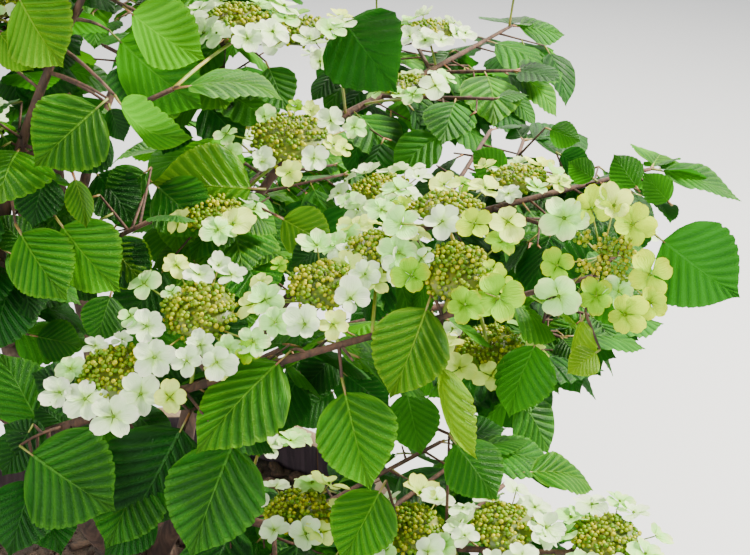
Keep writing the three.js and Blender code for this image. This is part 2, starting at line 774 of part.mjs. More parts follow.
// A flower head on its stalk: one solid of rings, three-sided up the stalk and six-sided at the head
function headSolid(head) {
  const axis = head.face;
  const stalk = head.centre.clone().sub(head.foot).normalize();
  const under = head.centre.clone().addScaledVector(axis, -HEAD.depth);
  const over = head.centre.clone().addScaledVector(axis, HEAD.rise);
  const rings = [
    { centre: head.foot, axis: stalk, radius: PEDUNCLE.radius, slim: true },
    { centre: under, axis, radius: PEDUNCLE.radius, slim: true },
    { centre: head.centre, axis, radius: head.radius },
    { centre: over, axis, radius: HEAD.shoulder * head.radius },
  ];
  const shape = new THREE.CylinderGeometry(1, 1, 1, HEAD.sides, rings.length - 1);
  const place = shape.attributes.position;
  for (let i = 0; i < place.count; i += 1) {
    const ring = rings[Math.round((place.getY(i) + 0.5) * (rings.length - 1))];
    const across = new THREE.Vector3().crossVectors(new THREE.Vector3(0, 1, 0), ring.axis).normalize();
    const away = new THREE.Vector3().crossVectors(across, ring.axis);
    const corner = Math.round((Math.atan2(place.getX(i), place.getZ(i)) / Math.PI) * 3);
    const angle = ((ring.slim ? 2 * Math.floor(corner / 2) : corner) * Math.PI) / 3;
    const reach = Math.hypot(place.getX(i), place.getZ(i)) * ring.radius;
    const point = ring.centre.clone()
      .addScaledVector(across, Math.sin(angle) * reach)
      .addScaledVector(away, Math.cos(angle) * reach);
    place.setXYZ(i, point.x, point.y, point.z);
  }
  return solid(shape);
}

function addMasses() {
  for (const name of Object.keys(MASSES)) {
    const growth = growMass(name);
    const twigs = growth.twigs.map(({ curve, radii, facets }) => taperedLimb(curve, radii[0], radii[1], facets));
    const pieces = [...twigs.map(solid), ...growth.leaves.map(leafSolid), ...growth.heads.map(headSolid)];
    const whole = largest(wasm.Manifold.union(pieces)).simplify(WELD);
    addSolid(name, whole, FOLIAGE);
  }
}

function addBarrel() {
  for (let number = 0; number < BARREL.staves; number += 1) {
    addMesh(`stave_${String(number + 1).padStart(2, '0')}`, stave(number), WOOD);
  }
  for (const [place, centre] of Object.entries(HOOP.centres)) {
    addSolid(`hoop_${place}`, solid(hoop(centre)), STEEL);
  }
  addSolid('base_board', solid(baseBoard()), WOOD);
  addSolid('soil', solid(soil()), EARTH);
}

planStems();
planBoughs();
planMasses();
addBarrel();
addWood();
addMasses();

export default plant;
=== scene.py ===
# %% [markdown]
# A potted doublefile viburnum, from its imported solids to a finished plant.
# The solids give every limb, every mass of foliage and the barrel at their real size. This lesson loads
# them as a frame, writes the plant's growth rule again, and lets it carry leaves, twigs and flower heads
# that are fine enough to look at closely. All sizes below are millimetres until a mesh is made.

# %% The frame
import math

import bmesh
import bpy
import numpy as np
from mathutils import Matrix, Vector, noise


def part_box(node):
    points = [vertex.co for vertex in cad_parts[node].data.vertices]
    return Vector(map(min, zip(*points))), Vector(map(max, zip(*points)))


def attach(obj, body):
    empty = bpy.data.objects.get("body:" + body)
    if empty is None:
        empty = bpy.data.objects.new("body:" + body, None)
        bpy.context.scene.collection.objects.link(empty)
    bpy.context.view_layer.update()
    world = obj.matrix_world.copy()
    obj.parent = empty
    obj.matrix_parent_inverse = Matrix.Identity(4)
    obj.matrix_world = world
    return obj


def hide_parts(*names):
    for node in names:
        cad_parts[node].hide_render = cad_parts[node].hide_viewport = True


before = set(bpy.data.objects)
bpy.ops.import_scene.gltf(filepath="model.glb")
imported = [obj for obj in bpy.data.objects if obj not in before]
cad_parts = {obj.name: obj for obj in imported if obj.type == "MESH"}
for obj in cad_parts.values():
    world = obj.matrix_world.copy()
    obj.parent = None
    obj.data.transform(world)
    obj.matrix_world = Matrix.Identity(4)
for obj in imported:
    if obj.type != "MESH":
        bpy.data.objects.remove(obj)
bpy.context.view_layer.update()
MM = 0.001
print("solids in the frame:", len(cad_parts))

# %% [markdown]
# The camera stands where the photograph was taken: a little above the crown, looking down by thirty
# degrees on the long flowering bough. A warm key light and two broad soft ones stand in for a studio.

# %% Camera and lights
CAMERA_PLACE = (0.25, -1.0378, 1.3875)
CAMERA_LENS = 60
NEAR_CLIP = 0.02
VIEWPOINT = np.array(CAMERA_PLACE) / MM
LOOKING_DOWN = 30
LIGHTS = {
    "key": {
        "place": (2.3, 0.5, 2.5), "aim": (0.1, -0.1, 0.9),
        "size": 0.7, "watts": 430, "tint": (1.0, 0.93, 0.78),
    },
    "rear": {
        "place": (0.2, 2.6, 2.4), "aim": (0.1, 0.0, 0.9),
        "size": 1.6, "watts": 160, "tint": (1.0, 0.95, 0.84),
    },
    "front": {
        "place": (-1.5, -2.6, 2.2), "aim": (0.1, -0.1, 0.8),
        "size": 2.4, "watts": 150, "tint": (1.0, 1.0, 0.97),
    },
}
SKY_TINT = (0.93, 0.96, 1.0, 1)
SKY_STRENGTH = 0.85

camera = bpy.data.objects.new("camera", bpy.data.cameras.new("camera"))
camera.location = CAMERA_PLACE
camera.rotation_euler = (math.radians(90 - LOOKING_DOWN), 0, 0)
camera.data.lens = CAMERA_LENS
camera.data.clip_start = NEAR_CLIP
bpy.context.scene.collection.objects.link(camera)
bpy.context.scene.camera = camera


def add_light(name, place, size, watts, aim, tint):
    lamp = bpy.data.objects.new(name + "_light", bpy.data.lights.new(name + "_light", "AREA"))
    lamp.location = place
    lamp.rotation_euler = (Vector(aim) - Vector(place)).to_track_quat("-Z", "Y").to_euler()
    lamp.data.size = size
    lamp.data.energy = watts
    lamp.data.color = tint
    bpy.context.scene.collection.objects.link(lamp)


for light_name, light in LIGHTS.items():
    add_light(light_name, **light)

world = bpy.data.worlds.new("soft_sky")
world.use_nodes = True
sky = world.node_tree.nodes["Background"]
sky.inputs["Color"].default_value = SKY_TINT
sky.inputs["Strength"].default_value = SKY_STRENGTH
bpy.context.scene.world = world
print("lights:", len(LIGHTS))

# %% [markdown]
# A finish is a small network of nodes. Two helpers keep it readable. Finish makes any node from its
# type, settings and socket values. Signal wraps one number that varies over a surface, so that shader
# maths reads as plain arithmetic and each operator adds its Math node.

# %% Shader helpers
MIX_FACTOR, MIX_A, MIX_B, MIX_COLOUR = 0, 6, 7, 2


class Signal:
    """One number that varies over a surface."""

    def __init__(self, finish, socket):
        self.finish = finish
        self.socket = socket

    def maths(self, operation, first, second=0.0):
        made = self.finish.node("ShaderNodeMath", {"operation": operation}, {0: first, 1: second})
        return Signal(self.finish, made.outputs[0])

    def __add__(self, other):
        return self.maths("ADD", self, other)

    def __sub__(self, other):
        return self.maths("SUBTRACT", self, other)

    def __rsub__(self, other):
        return self.maths("SUBTRACT", other, self)

    def __mul__(self, other):
        return self.maths("MULTIPLY", self, other)

    def __truediv__(self, other):
        return self.maths("DIVIDE", self, other)

    def __abs__(self):
        return self.maths("ABSOLUTE", self)

    def off_whole(self):
        """How far the number is from the nearest whole one, from 0 to 0.5."""
        return self.maths("PINGPONG", self, 0.5)

    def whole(self):
        return self.maths("FLOOR", self)

    def larger(self, other):
        return self.maths("MAXIMUM", self, other)

    def smooth(self, low, high):
        """0 at low and 1 at high, with an eased step between them."""
        sockets = {0: self, 1: low, 2: high, 3: 0.0, 4: 1.0}
        made = self.finish.node("ShaderNodeMapRange", {"interpolation_type": "SMOOTHSTEP"}, sockets)
        return Signal(self.finish, made.outputs[0])


class Finish:
    """A material's network of nodes."""

    def __init__(self, name):
        self.material = bpy.data.materials.new(name)
        self.material.use_nodes = True
        self.nodes = self.material.node_tree.nodes
        self.nodes.clear()

    def node(self, kind, settings=None, sockets=None):
        made = self.nodes.new(kind)
        for setting, value in (settings or {}).items():
            setattr(made, setting, value)
        for key, value in (sockets or {}).items():
            source = value.socket if isinstance(value, Signal) else value
            if isinstance(source, bpy.types.NodeSocket):
                self.material.node_tree.links.new(source, made.inputs[key])
            else:
                made.inputs[key].default_value = source
        return made

    def place(self):
        return self.node("ShaderNodeTexCoord").outputs["Object"]

    def parts(self, vector):
        made = self.node("ShaderNodeSeparateXYZ", None, {0: vector})
        return [Signal(self, made.outputs[i]) for i in range(3)]

    def own_map(self):
        return self.parts(self.node("ShaderNodeUVMap").outputs["UV"])

    def vector(self, x, y, z=0.0):
        return self.node("ShaderNodeCombineXYZ", None, {0: x, 1: y, 2: z}).outputs[0]

    def stretched(self, vector, scales):
        return self.node("ShaderNodeMapping", None, {"Vector": vector, "Scale": scales}).outputs[0]

    def grain(self, vector, scale, detail=2.0, roughness=0.5, distortion=0.0):
        sockets = {"Vector": vector, "Scale": scale, "Detail": detail}
        sockets.update({"Roughness": roughness, "Distortion": distortion})
        return Signal(self, self.node("ShaderNodeTexNoise", None, sockets).outputs[0])

    def cells(self, vector, scale, feature="F1"):
        made = self.node("ShaderNodeTexVoronoi", {"feature": feature}, {"Vector": vector, "Scale": scale})
        return Signal(self, made.outputs["Distance"])

    def mix(self, factor, first, second):
        sockets = {MIX_FACTOR: factor, MIX_A: first, MIX_B: second}
        return self.node("ShaderNodeMix", {"data_type": "RGBA"}, sockets).outputs[MIX_COLOUR]

    def bump(self, height, distance):
        sockets = {"Height": height, "Distance": distance}
        return self.node("ShaderNodeBump", None, sockets).outputs["Normal"]

    def surface(self, sockets, glow_through=None, share=0.3):
        """Ends the network. A thin blade mixes its surface with the light that passes through it."""
        shader = self.node("ShaderNodeBsdfPrincipled", None, sockets).outputs[0]
        if glow_through:
            thin = self.node("ShaderNodeBsdfTranslucent", None, {"Color": glow_through}).outputs[0]
            shader = self.node("ShaderNodeMixShader", None, {0: share, 1: shader, 2: thin}).outputs[0]
        self.node("ShaderNodeOutputMaterial", None, {"Surface": shader})
        return self.material


STUDIO_GAIN = 1.25


def colour(red, green, blue):
    """The linear colour that shows as this one, from 0 to 255, under the studio's strong light."""
    linear = [((c / 255 + 0.055) / 1.055) ** 2.4 if c > 10 else c / 255 / 12.92 for c in (red, green, blue)]
    return (*[part / STUDIO_GAIN for part in linear], 1.0)


print("shader helpers ready")

# %% [markdown]
# Every piece is shaped by bmesh operators. A piece that is used many times, such as a leaf, is shaped
# once as a template, and its corners are then copied along the plant with arrays. Both end as one mesh
# object at the origin that rides on the frame's body.

# %% From shapes to pieces
UP = np.array([0.0, 0.0, 1.0])


def unit(vector):
    return vector / np.linalg.norm(vector, axis=-1, keepdims=True)


def write_own_map(shape, place_of, faces=None):
    """Gives every corner of the faces a place on the surface, worked out from where the corner stands."""
    layer = shape.loops.layers.uv.get("own_map") or shape.loops.layers.uv.new("own_map")
    for face in faces or shape.faces:
        for loop in face.loops:
            loop[layer].uv = place_of(loop.vert.co)


class Template:
    """The corners, faces and own map of a shape that is repeated."""

    def __init__(self, shape):
        shape.verts.ensure_lookup_table()
        shape.verts.index_update()
        layer = shape.loops.layers.uv.active
        loops = [loop for face in shape.faces for loop in face.loops]
        self.points = np.array([vert.co[:] for vert in shape.verts])
        self.loops = np.array([loop.vert.index for loop in loops])
        self.sizes = np.array([len(face.verts) for face in shape.faces])
        self.map = np.array([loop[layer].uv[:] if layer else (0, 0) for loop in loops])
        shape.free()


class Batch:
    """Copies of templates that end up in one mesh."""

    def __init__(self):
        self.points, self.loops, self.sizes, self.maps = [], [], [], []
        self.count = 0

    def add(self, template, points):
        """points holds the template's corners for each copy, as copies × corners × 3."""
        copies, corners = points.shape[:2]
        offsets = self.count + corners * np.arange(copies)
        self.points.append(points.reshape(-1, 3))
        self.loops.append((offsets[:, None] + template.loops[None, :]).ravel())
        self.sizes.append(np.tile(template.sizes, copies))
        self.maps.append(np.tile(template.map, (copies, 1)))
        self.count += copies * corners

    def piece(self, name, material, slot, replaced=()):
        parts = (self.points, self.loops, self.sizes, self.maps)
        points, loops, sizes, maps = (np.concatenate(part) for part in parts)
        mesh = bpy.data.meshes.new(name)
        mesh.vertices.add(len(points))
        mesh.vertices.foreach_set("co", (points * MM).astype(np.float32).ravel())
        mesh.loops.add(len(loops))
        mesh.loops.foreach_set("vertex_index", loops.astype(np.int32))
        mesh.polygons.add(len(sizes))
        starts = np.concatenate([[0], np.cumsum(sizes)[:-1]])
        mesh.polygons.foreach_set("loop_start", starts.astype(np.int32))
        mesh.polygons.foreach_set("use_smooth", np.ones(len(sizes), bool))
        mesh.update(calc_edges=True)
        mesh.validate()
        mesh.uv_layers.new(name="own_map").data.foreach_set("uv", maps.astype(np.float32).ravel())
        finish_piece(name, mesh, material, replaced)


def finish_piece(name, mesh, materials, replaced):
    piece = bpy.data.objects.new(name, mesh)
    bpy.context.scene.collection.objects.link(piece)
    for material in materials if isinstance(materials, list) else [materials]:
        mesh.materials.append(material)
    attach(piece, "root")
    if replaced:
        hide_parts(*replaced)
    print(f"{name}: {sum(len(face.vertices) - 2 for face in mesh.polygons)} triangles")


def piece_from(shape, name, materials, replaced=(), smooth=True):
    """A finished piece from a bmesh in millimetres."""
    bmesh.ops.scale(shape, vec=(MM, MM, MM), verts=shape.verts)
    for face in shape.faces:
        face.smooth = smooth
    mesh = bpy.data.meshes.new(name)
    shape.to_mesh(mesh)
    shape.free()
    finish_piece(name, mesh, materials, replaced)


print("copies and single shapes both end in finish_piece")

# %% [markdown]
# The floor is only a stage for the plant: one large pale face, not attached to its body.

# %% Floor
FLOOR_HALF = 9.0


def add_floor():
    shape = bmesh.new()
    bmesh.ops.create_grid(shape, x_segments=1, y_segments=1, size=FLOOR_HALF)
    mesh = bpy.data.meshes.new("floor")
    shape.to_mesh(mesh)
    shape.free()
    floor = bpy.data.objects.new("floor", mesh)
    bpy.context.scene.collection.objects.link(floor)
    finish = Finish("pale_floor")
    mesh.materials.append(finish.surface({"Base Color": colour(214, 217, 222), "Roughness": 0.9}))


add_floor()
print("floor half width in metres:", FLOOR_HALF)

# %% [markdown]
# The planter is half of an old oak cask: bent staves held by steel hoops. A stave starts as a box, its
# long edges are rounded, and it is then bent to the barrel's round and bulge. Its inside is stained
# dark by what the cask once held, and the cut at its top is pale, partly its own colour and partly a
# painted highlight where it faces up into the light, so each has a finish of its own.

# %% Sizes of the barrel
BARREL = {"height": 420, "rim_radius": 300, "foot_radius": 260, "thickness": 24, "staves": 18, "gap": 0.3}
STAVE = {
    "edge": 2.6, "bends": 24, "across": 6, "wander": 0.7, "waves": (90, 60), "settled": 40, "phase": 3.7,
}
GRAIN_SHIFT = (410, 130)
ABOUT_AXIS = {"cent": (0, 0, 0), "axis": (0, 0, 1)}
HOOP = {"width": 45, "thickness": 2.5, "lift": 0.4, "centres": {"low": 42, "middle": 145, "high": 268}}
SEAM = {"first": 0.9, "turn": 2.2}
LAP = {"length": 95, "rivet_radius": 5.5, "rivet_rise": 3.0, "rivets": (0.25, 0.75)}
SOIL = {"edge": 368, "crown": 375, "crown_radius": 150, "rim": 274, "foot": 20.3, "slack": 2.6}


def barrel_radius(z):
    below = 1 - z / BARREL["height"]
    return BARREL["rim_radius"] - (BARREL["rim_radius"] - BARREL["foot_radius"]) * below * below


print("barrel radius at the foot and the rim:", barrel_radius(0), barrel_radius(BARREL["height"]))

# %% [markdown]
# Oak that has stood outside turns from tan to grey-brown: dark pores and fine drying checks follow the
# grain, the foot stays damp, and the inside keeps the stain of its first use. The hoops are galvanised
# steel, dulled and spotted with rust, with light streaks of painted highlight along each band. The
# finishes follow each stave's own map or the object's place.

# %% Wood, steel and soil finishes
def stave_finish(name, base, light, dark, stain, roughness):
    """Oak whose grain runs up the stave: the own map holds millimetres across and up each stave."""
    finish = Finish(name)
    across, up, _ = finish.own_map()
    fibre = finish.grain(finish.vector(across * 0.9, up * 0.012), 1.0, 6.0, 0.62, 0.4)
    pores = finish.grain(finish.vector(across * 3.0, up * 0.05), 1.0, 3.0, 0.7)
    flame = finish.grain(finish.vector(across * 0.05, up * 0.006), 1.0, 2.0, 0.5, 1.6)
    blotch = finish.grain(finish.vector(across * 0.02, up * 0.012, 3.0), 1.0, 3.0, 0.6, 0.6)
    drift = finish.grain(finish.vector(across * 0.12, up * 0.0028, 7.0), 1.0, 2.0, 0.45)
    checks = (drift * 9.0).off_whole().smooth(0.03, 0.0) * blotch.smooth(0.5, 0.62)
    height = finish.parts(finish.place())[2]
    damp = height.smooth(0.1, 0.0) * blotch.smooth(0.3, 0.6)
    knots = finish.cells(finish.vector(across * 0.011, up * 0.0045), 1.0).smooth(0.075, 0.02)
    body = finish.mix(fibre.smooth(0.3, 0.7), dark, base)
    body = finish.mix(flame.smooth(0.42, 0.68) * 0.55, body, light)
    body = finish.mix(pores.smooth(0.62, 0.75) * 0.5, body, stain)
    body = finish.mix(checks * 0.85, body, stain)
    body = finish.mix(damp * 0.45, body, dark)
    body = finish.mix(knots * 0.8, body, stain)
    relief = fibre * 0.6 + pores * 0.25 - knots * 0.5 - checks * 0.8
    return finish.surface({
        "Base Color": body,
        "Roughness": fibre * 0.2 + roughness,
        "Normal": finish.bump(relief, 0.0012),
    })


outer_wood = stave_finish(
    "weathered_oak", colour(132, 98, 70), colour(164, 132, 98), colour(94, 66, 47), colour(60, 42, 33), 0.6
)
inner_wood = stave_finish(
    "stained_oak", colour(66, 50, 58), colour(84, 66, 74), colour(42, 32, 40), colour(28, 20, 26), 0.65
)
# The cut tops are pale oak: partly the cut's own colour, partly a painted highlight where the rim faces up
# into the light.
cut_wood_with_painted_highlight = stave_finish(
    "cut_oak_with_painted_highlight", colour(172, 146, 118), colour(196, 170, 140), colour(136, 108, 82), colour(92, 68, 52), 0.7
)


def hoop_steel():
    finish = Finish("weathered_steel")
    place = finish.place()
    mottle = finish.grain(place, 26, 5.0, 0.62)
    painted_highlight_streaks = finish.grain(finish.stretched(place, (9, 9, 160)), 1.0, 4.0)
    specks = finish.cells(place, 210).smooth(0.16, 0.05)
    rust = (mottle * 0.7 + specks * 0.5).smooth(0.55, 0.85)
    body = finish.mix(mottle.smooth(0.35, 0.65), colour(40, 60, 76), colour(62, 86, 102))
    # Painted highlight: light streaks along the band.
    body = finish.mix(painted_highlight_streaks.smooth(0.52, 0.72) * 0.5, body, colour(96, 116, 126))
    body = finish.mix(rust * 0.6, body, colour(74, 52, 42))
    return finish.surface({
        "Base Color": body,
        "Metallic": 0.65 - rust * 0.5,
        "Roughness": mottle * 0.25 + 0.34,
        "Normal": finish.bump(mottle + specks * 0.4, 0.0006),
    })


def chip_wood():
    """Shredded bark: fibres run along each chip's own map."""
    finish = Finish("bark_chips")
    along, across, _ = finish.own_map()
    fibre = finish.grain(finish.vector(along * 1.3, across * 7.0), 1.0, 4.0, 0.65, 0.4)
    crumble = finish.grain(finish.place(), 140, 3.0)
    body = finish.mix(fibre.smooth(0.35, 0.65), colour(52, 35, 27), colour(106, 77, 57))
    body = finish.mix(crumble.smooth(0.55, 0.7) * 0.5, body, colour(72, 50, 39))
    return finish.surface({"Base Color": body, "Roughness": 0.88, "Normal": finish.bump(fibre, 0.0014)})


def soil_finish(name, damp, dry):
    finish = Finish(name)
    place = finish.place()
    lumps = finish.grain(place, 55, 6.0, 0.7)
    grit = finish.cells(place, 330)
    body = finish.mix(lumps.smooth(0.35, 0.68), damp, dry)
    body = finish.mix(grit.smooth(0.12, 0.02) * 0.5, body, colour(120, 104, 90))
    return finish.surface({
        "Base Color": body,
        "Roughness": 0.95,
        "Normal": finish.bump(lumps + grit * 0.5, 0.002),
    })


steel = hoop_steel()
compost = soil_finish("compost", colour(38, 27, 22), colour(74, 56, 45))
chip_finish = chip_wood()
print("barrel finishes ready")

# %% [markdown]
# The bend is a plain function of height and angle, so it is applied to the corners of the rounded box.
# The material of a face follows from where it lies: towards the barrel's middle, on top, or outside.

# %% Staves
INSIDE, CUT = 1, 2
FACES_UP = 0.6
FACES_IN = -0.5


def add_stave(shape, number):
    turn = math.tau / BARREL["staves"]
    width = turn * BARREL["rim_radius"]
    box = bmesh.new()
    bmesh.ops.create_cube(box, size=1)
    bmesh.ops.scale(box, vec=(width, BARREL["thickness"], BARREL["height"]), verts=box.verts)
    bmesh.ops.translate(box, vec=(0, 0, BARREL["height"] / 2), verts=box.verts)
    rounded = [edge for edge in box.edges if max(vert.co.z for vert in edge.verts) > 1]
    bmesh.ops.bevel(
        box, geom=rounded, offset=STAVE["edge"], segments=2, profile=0.5, affect="EDGES", material=-1
    )
    steps = [BARREL["height"] * i / STAVE["bends"] for i in range(1, STAVE["bends"])]
    cuts = [((0, 0, z), (0, 0, 1)) for z in steps]
    cuts += [((width * (i / STAVE["across"] - 0.5), 0, 0), (1, 0, 0)) for i in range(1, STAVE["across"])]
    for middle, facing in cuts:
        geometry = box.verts[:] + box.edges[:] + box.faces[:]
        bmesh.ops.bisect_plane(box, geom=geometry, plane_co=middle, plane_no=facing)
    across_shift, up_shift = GRAIN_SHIFT[0] * number, GRAIN_SHIFT[1] * number
    write_own_map(box, lambda co: (co.x + co.y + across_shift, co.z + up_shift))
    for face in box.faces:
        if face.normal.z > FACES_UP:
            face.material_index = CUT
        elif face.normal.y < FACES_IN:
            face.material_index = INSIDE
    phase = STAVE["phase"] * number
    long_wave, short_wave = STAVE["waves"]
    for vert in box.verts:
        x, y, z = vert.co
        wander = STAVE["wander"] * noise.noise(Vector((phase, z / long_wave, y / short_wave)))
        radius = barrel_radius(z) + y - BARREL["thickness"] / 2 + wander * min(1, z / STAVE["settled"])
        half = turn / 2 - BARREL["gap"] / 2 / radius
        angle = turn * number - 2 * half * x / width
        vert.co = (radius * math.cos(angle), radius * math.sin(angle), z)
    mesh = bpy.data.meshes.new("stave")
    box.to_mesh(mesh)
    box.free()
    shape.from_mesh(mesh)
    bpy.data.meshes.remove(mesh)


staves = bmesh.new()
for stave_number in range(BARREL["staves"]):
    add_stave(staves, stave_number)
stave_names = [f"stave_{i + 1:02d}" for i in range(BARREL["staves"])]
piece_from(staves, "staves", [outer_wood, inner_wood, cut_wood_with_painted_highlight], stave_names)

# %% [markdown]
# A hoop is one flat band riveted over its own end. Its section is a small loop of corners that is spun
# round the barrel's axis. The lap is a second short band on top of it, with two rivets.

# %% Hoops
BAND_SECTION = [(-1, 0), (-1, 0.7), (-0.97, 1), (0.97, 1), (1, 0.7), (1, 0)]
BAND_STEPS = 108
LAP_STEPS = 8


def spun_band(shape, centre, lift, height, start, angle, steps):
    """A band from one section, whose corners give the side of the band and how far out they lie."""
    corners = []
    for side, out in BAND_SECTION:
        z = centre + side * height / 2
        radius = barrel_radius(z) + lift + out * HOOP["thickness"]
        corners.append(shape.verts.new((radius * math.cos(start), radius * math.sin(start), z)))
    section = [shape.edges.new((corners[i], corners[(i + 1) % len(corners)])) for i in range(len(corners))]
    closed = angle == math.tau
    about = {"angle": angle, "steps": steps, "use_merge": closed}
    spun = bmesh.ops.spin(shape, geom=corners + section, **about, **ABOUT_AXIS)
    if not closed:
        last = [part for part in spun["geom_last"] if isinstance(part, bmesh.types.BMVert)]
        shape.faces.new(corners)
        shape.faces.new(last)


def add_rivet(shape, angle, z, lift):
    radius = barrel_radius(z) + lift
    made = bmesh.ops.create_uvsphere(shape, u_segments=12, v_segments=8, radius=LAP["rivet_radius"])
    bmesh.ops.scale(shape, vec=(LAP["rivet_rise"] / LAP["rivet_radius"], 1, 1), verts=made["verts"])
    bmesh.ops.translate(shape, vec=(radius, 0, z), verts=made["verts"])
    bmesh.ops.rotate(shape, cent=(0, 0, 0), matrix=Matrix.Rotation(angle, 3, "Z"), verts=made["verts"])


def hoop_piece(name, centre, seam):
    shape = bmesh.new()
    spun_band(shape, centre, HOOP["lift"], HOOP["width"], seam, math.tau, BAND_STEPS)
    lap_angle = LAP["length"] / barrel_radius(centre)
    on_top = HOOP["lift"] + HOOP["thickness"]
    spun_band(shape, centre, on_top, HOOP["width"] - 1, seam, lap_angle, LAP_STEPS)
    for share in LAP["rivets"]:
        add_rivet(shape, seam + lap_angle * share, centre, HOOP["lift"] + 2 * HOOP["thickness"])
    bmesh.ops.recalc_face_normals(shape, faces=shape.faces)
    piece_from(shape, name + "_band", steel, [name], smooth=False)


for hoop_number, (hoop_name, hoop_centre) in enumerate(HOOP["centres"].items()):
    hoop_piece("hoop_" + hoop_name, hoop_centre, SEAM["first"] + SEAM["turn"] * hoop_number)

# %% [markdown]
# The soil is a spun section whose top is raised and lowered by noise. It lies a little higher round the
# stool, where it was heaped at planting, and stops about five centimetres below the barrel's rim.

# %% Soil
LUMP = {"size": 34, "rise": 2.6}
SOIL_SPIN = 96
SOIL_RINGS = 36
RING_CROWDING = 0.9
WALL_HEIGHTS = (SOIL["foot"], 140, 260)


def soil_top(x, y):
    radius = math.hypot(x, y)
    share = min(1, max(0, (radius - SOIL["crown_radius"]) / (SOIL["rim"] - SOIL["crown_radius"])))
    level = SOIL["crown"] + (SOIL["edge"] - SOIL["crown"]) * share
    rough = noise.fractal(Vector((x / LUMP["size"], y / LUMP["size"], 0.4)), 0.9, 2.1, 4)
    return level + LUMP["rise"] * rough


def inner_radius(z):
    return barrel_radius(z) - BARREL["thickness"] - SOIL["slack"]


def soil_body():
    shape = bmesh.new()
    rim = inner_radius(SOIL["edge"])
    profile = [(rim * (i / SOIL_RINGS) ** RING_CROWDING, SOIL["edge"]) for i in range(SOIL_RINGS, 0, -1)]
    wall = [(inner_radius(z), z) for z in WALL_HEIGHTS]
    corners = [shape.verts.new((radius, 0, z)) for radius, z in wall + profile]
    edges = [shape.edges.new(pair) for pair in zip(corners, corners[1:])]
    about = {"angle": math.tau, "steps": SOIL_SPIN, "use_merge": True}
    bmesh.ops.spin(shape, geom=corners + edges, **about, **ABOUT_AXIS)
    rims = [edge for edge in shape.edges if edge.is_boundary]
    for at_top in (False, True):
        chosen = [edge for edge in rims if (edge.verts[0].co.z > WALL_HEIGHTS[1]) == at_top]
        bmesh.ops.holes_fill(shape, edges=chosen)
    for vert in shape.verts:
        if vert.co.z > SOIL["edge"] - 1:
            vert.co.z = soil_top(vert.co.x, vert.co.y)
    bmesh.ops.recalc_face_normals(shape, faces=shape.faces)
    piece_from(shape, "soil_bed", compost, ["soil"])


soil_body()

# %% [markdown]
# Crumbs of soil and chips of bark lie on top. The crumbs are twenty-sided balls pressed out of true,
# which is enough at their size, and a chip is a bevelled block bent by noise.

# %% Crumbs and bark chips
CRUMBS = {"count": 900, "least": 2.5, "most": 7.0, "tilt": 1.0, "shape": (1.0, 0.8, 0.6)}
CHIPS = {"count": 260, "least": 7.0, "most": 19.0, "tilt": 0.12, "shape": (1.0, 0.42, 0.17)}
STREWN = {"radius": 262, "free": 0.06, "least_scale": 0.6, "lift": 0.2}
CHIP = {"bevel": 0.35, "rough": 0.5, "rough_scale": 2.3, "bow": 0.25, "bow_scale": 2.2}


def ball_template(subdivisions):
    shape = bmesh.new()
    bmesh.ops.create_icosphere(shape, subdivisions=subdivisions, radius=1)
    return Template(shape)


def chip_template():
    shape = bmesh.new()
    bmesh.ops.create_cube(shape, size=2)
    bmesh.ops.bevel(
        shape, geom=shape.edges[:], offset=CHIP["bevel"], segments=1, profile=0.5, affect="EDGES", material=-1
    )
    write_own_map(shape, lambda co: (co.x, co.y + co.z))
    for vert in shape.verts:
        vert.co.y += CHIP["rough"] * noise.noise(vert.co * CHIP["rough_scale"])
        vert.co.z += CHIP["bow"] * math.sin(CHIP["bow_scale"] * vert.co.x)
    return Template(shape)


def scatter_on_soil(template, kind, draw):
    """Copies of a template lying on the soil, with the trunk's foot kept free."""
    count = kind["count"]
    angles = draw.uniform(0, math.tau, count)
    radii = STREWN["radius"] * np.sqrt(draw.uniform(STREWN["free"], 1.0, count))
    places = np.stack([radii * np.cos(angles), radii * np.sin(angles)], axis=1)
    heights = np.array([soil_top(x, y) for x, y in places])
    sizes = draw.uniform(kind["least"], kind["most"], count)
    turns = draw.uniform(0, math.tau, count)
    tilts = kind["tilt"] * draw.normal(size=(3, count))
    ahead = np.stack([np.cos(turns), np.sin(turns), tilts[0]], axis=1)
    aside = unit(np.cross(np.stack([tilts[1], tilts[2], np.ones(count)], axis=1), ahead))
    axes = np.stack([unit(ahead), aside, unit(np.cross(ahead, aside))], axis=1)
    scales = draw.uniform(STREWN["least_scale"], 1.0, (count, 1, 3)) * np.array(kind["shape"])
    points = (template.points[None] * scales) @ axes * sizes[:, None, None]
    heights = heights + STREWN["lift"] * sizes
    points += np.stack([places[:, 0], places[:, 1], heights], axis=1)[:, None]
    return points


def strew(name, template, kind, material):
    batch = Batch()
    batch.add(template, scatter_on_soil(template, kind, ground_draw))
    batch.piece(name, material, "soil")


ground_draw = np.random.default_rng(41)
strew("soil_crumbs", ball_template(1), CRUMBS, compost)
strew("bark_chips", chip_template(), CHIPS, chip_finish)

# %% [markdown]
# The barrel's round base board is seen only from below and keeps its solid's shape, so it needs a finish
# alone: sawn boards of oak with dark joints between them, worked out from the object's own place.

# %% Base board
BOARD_WIDTH = 0.105


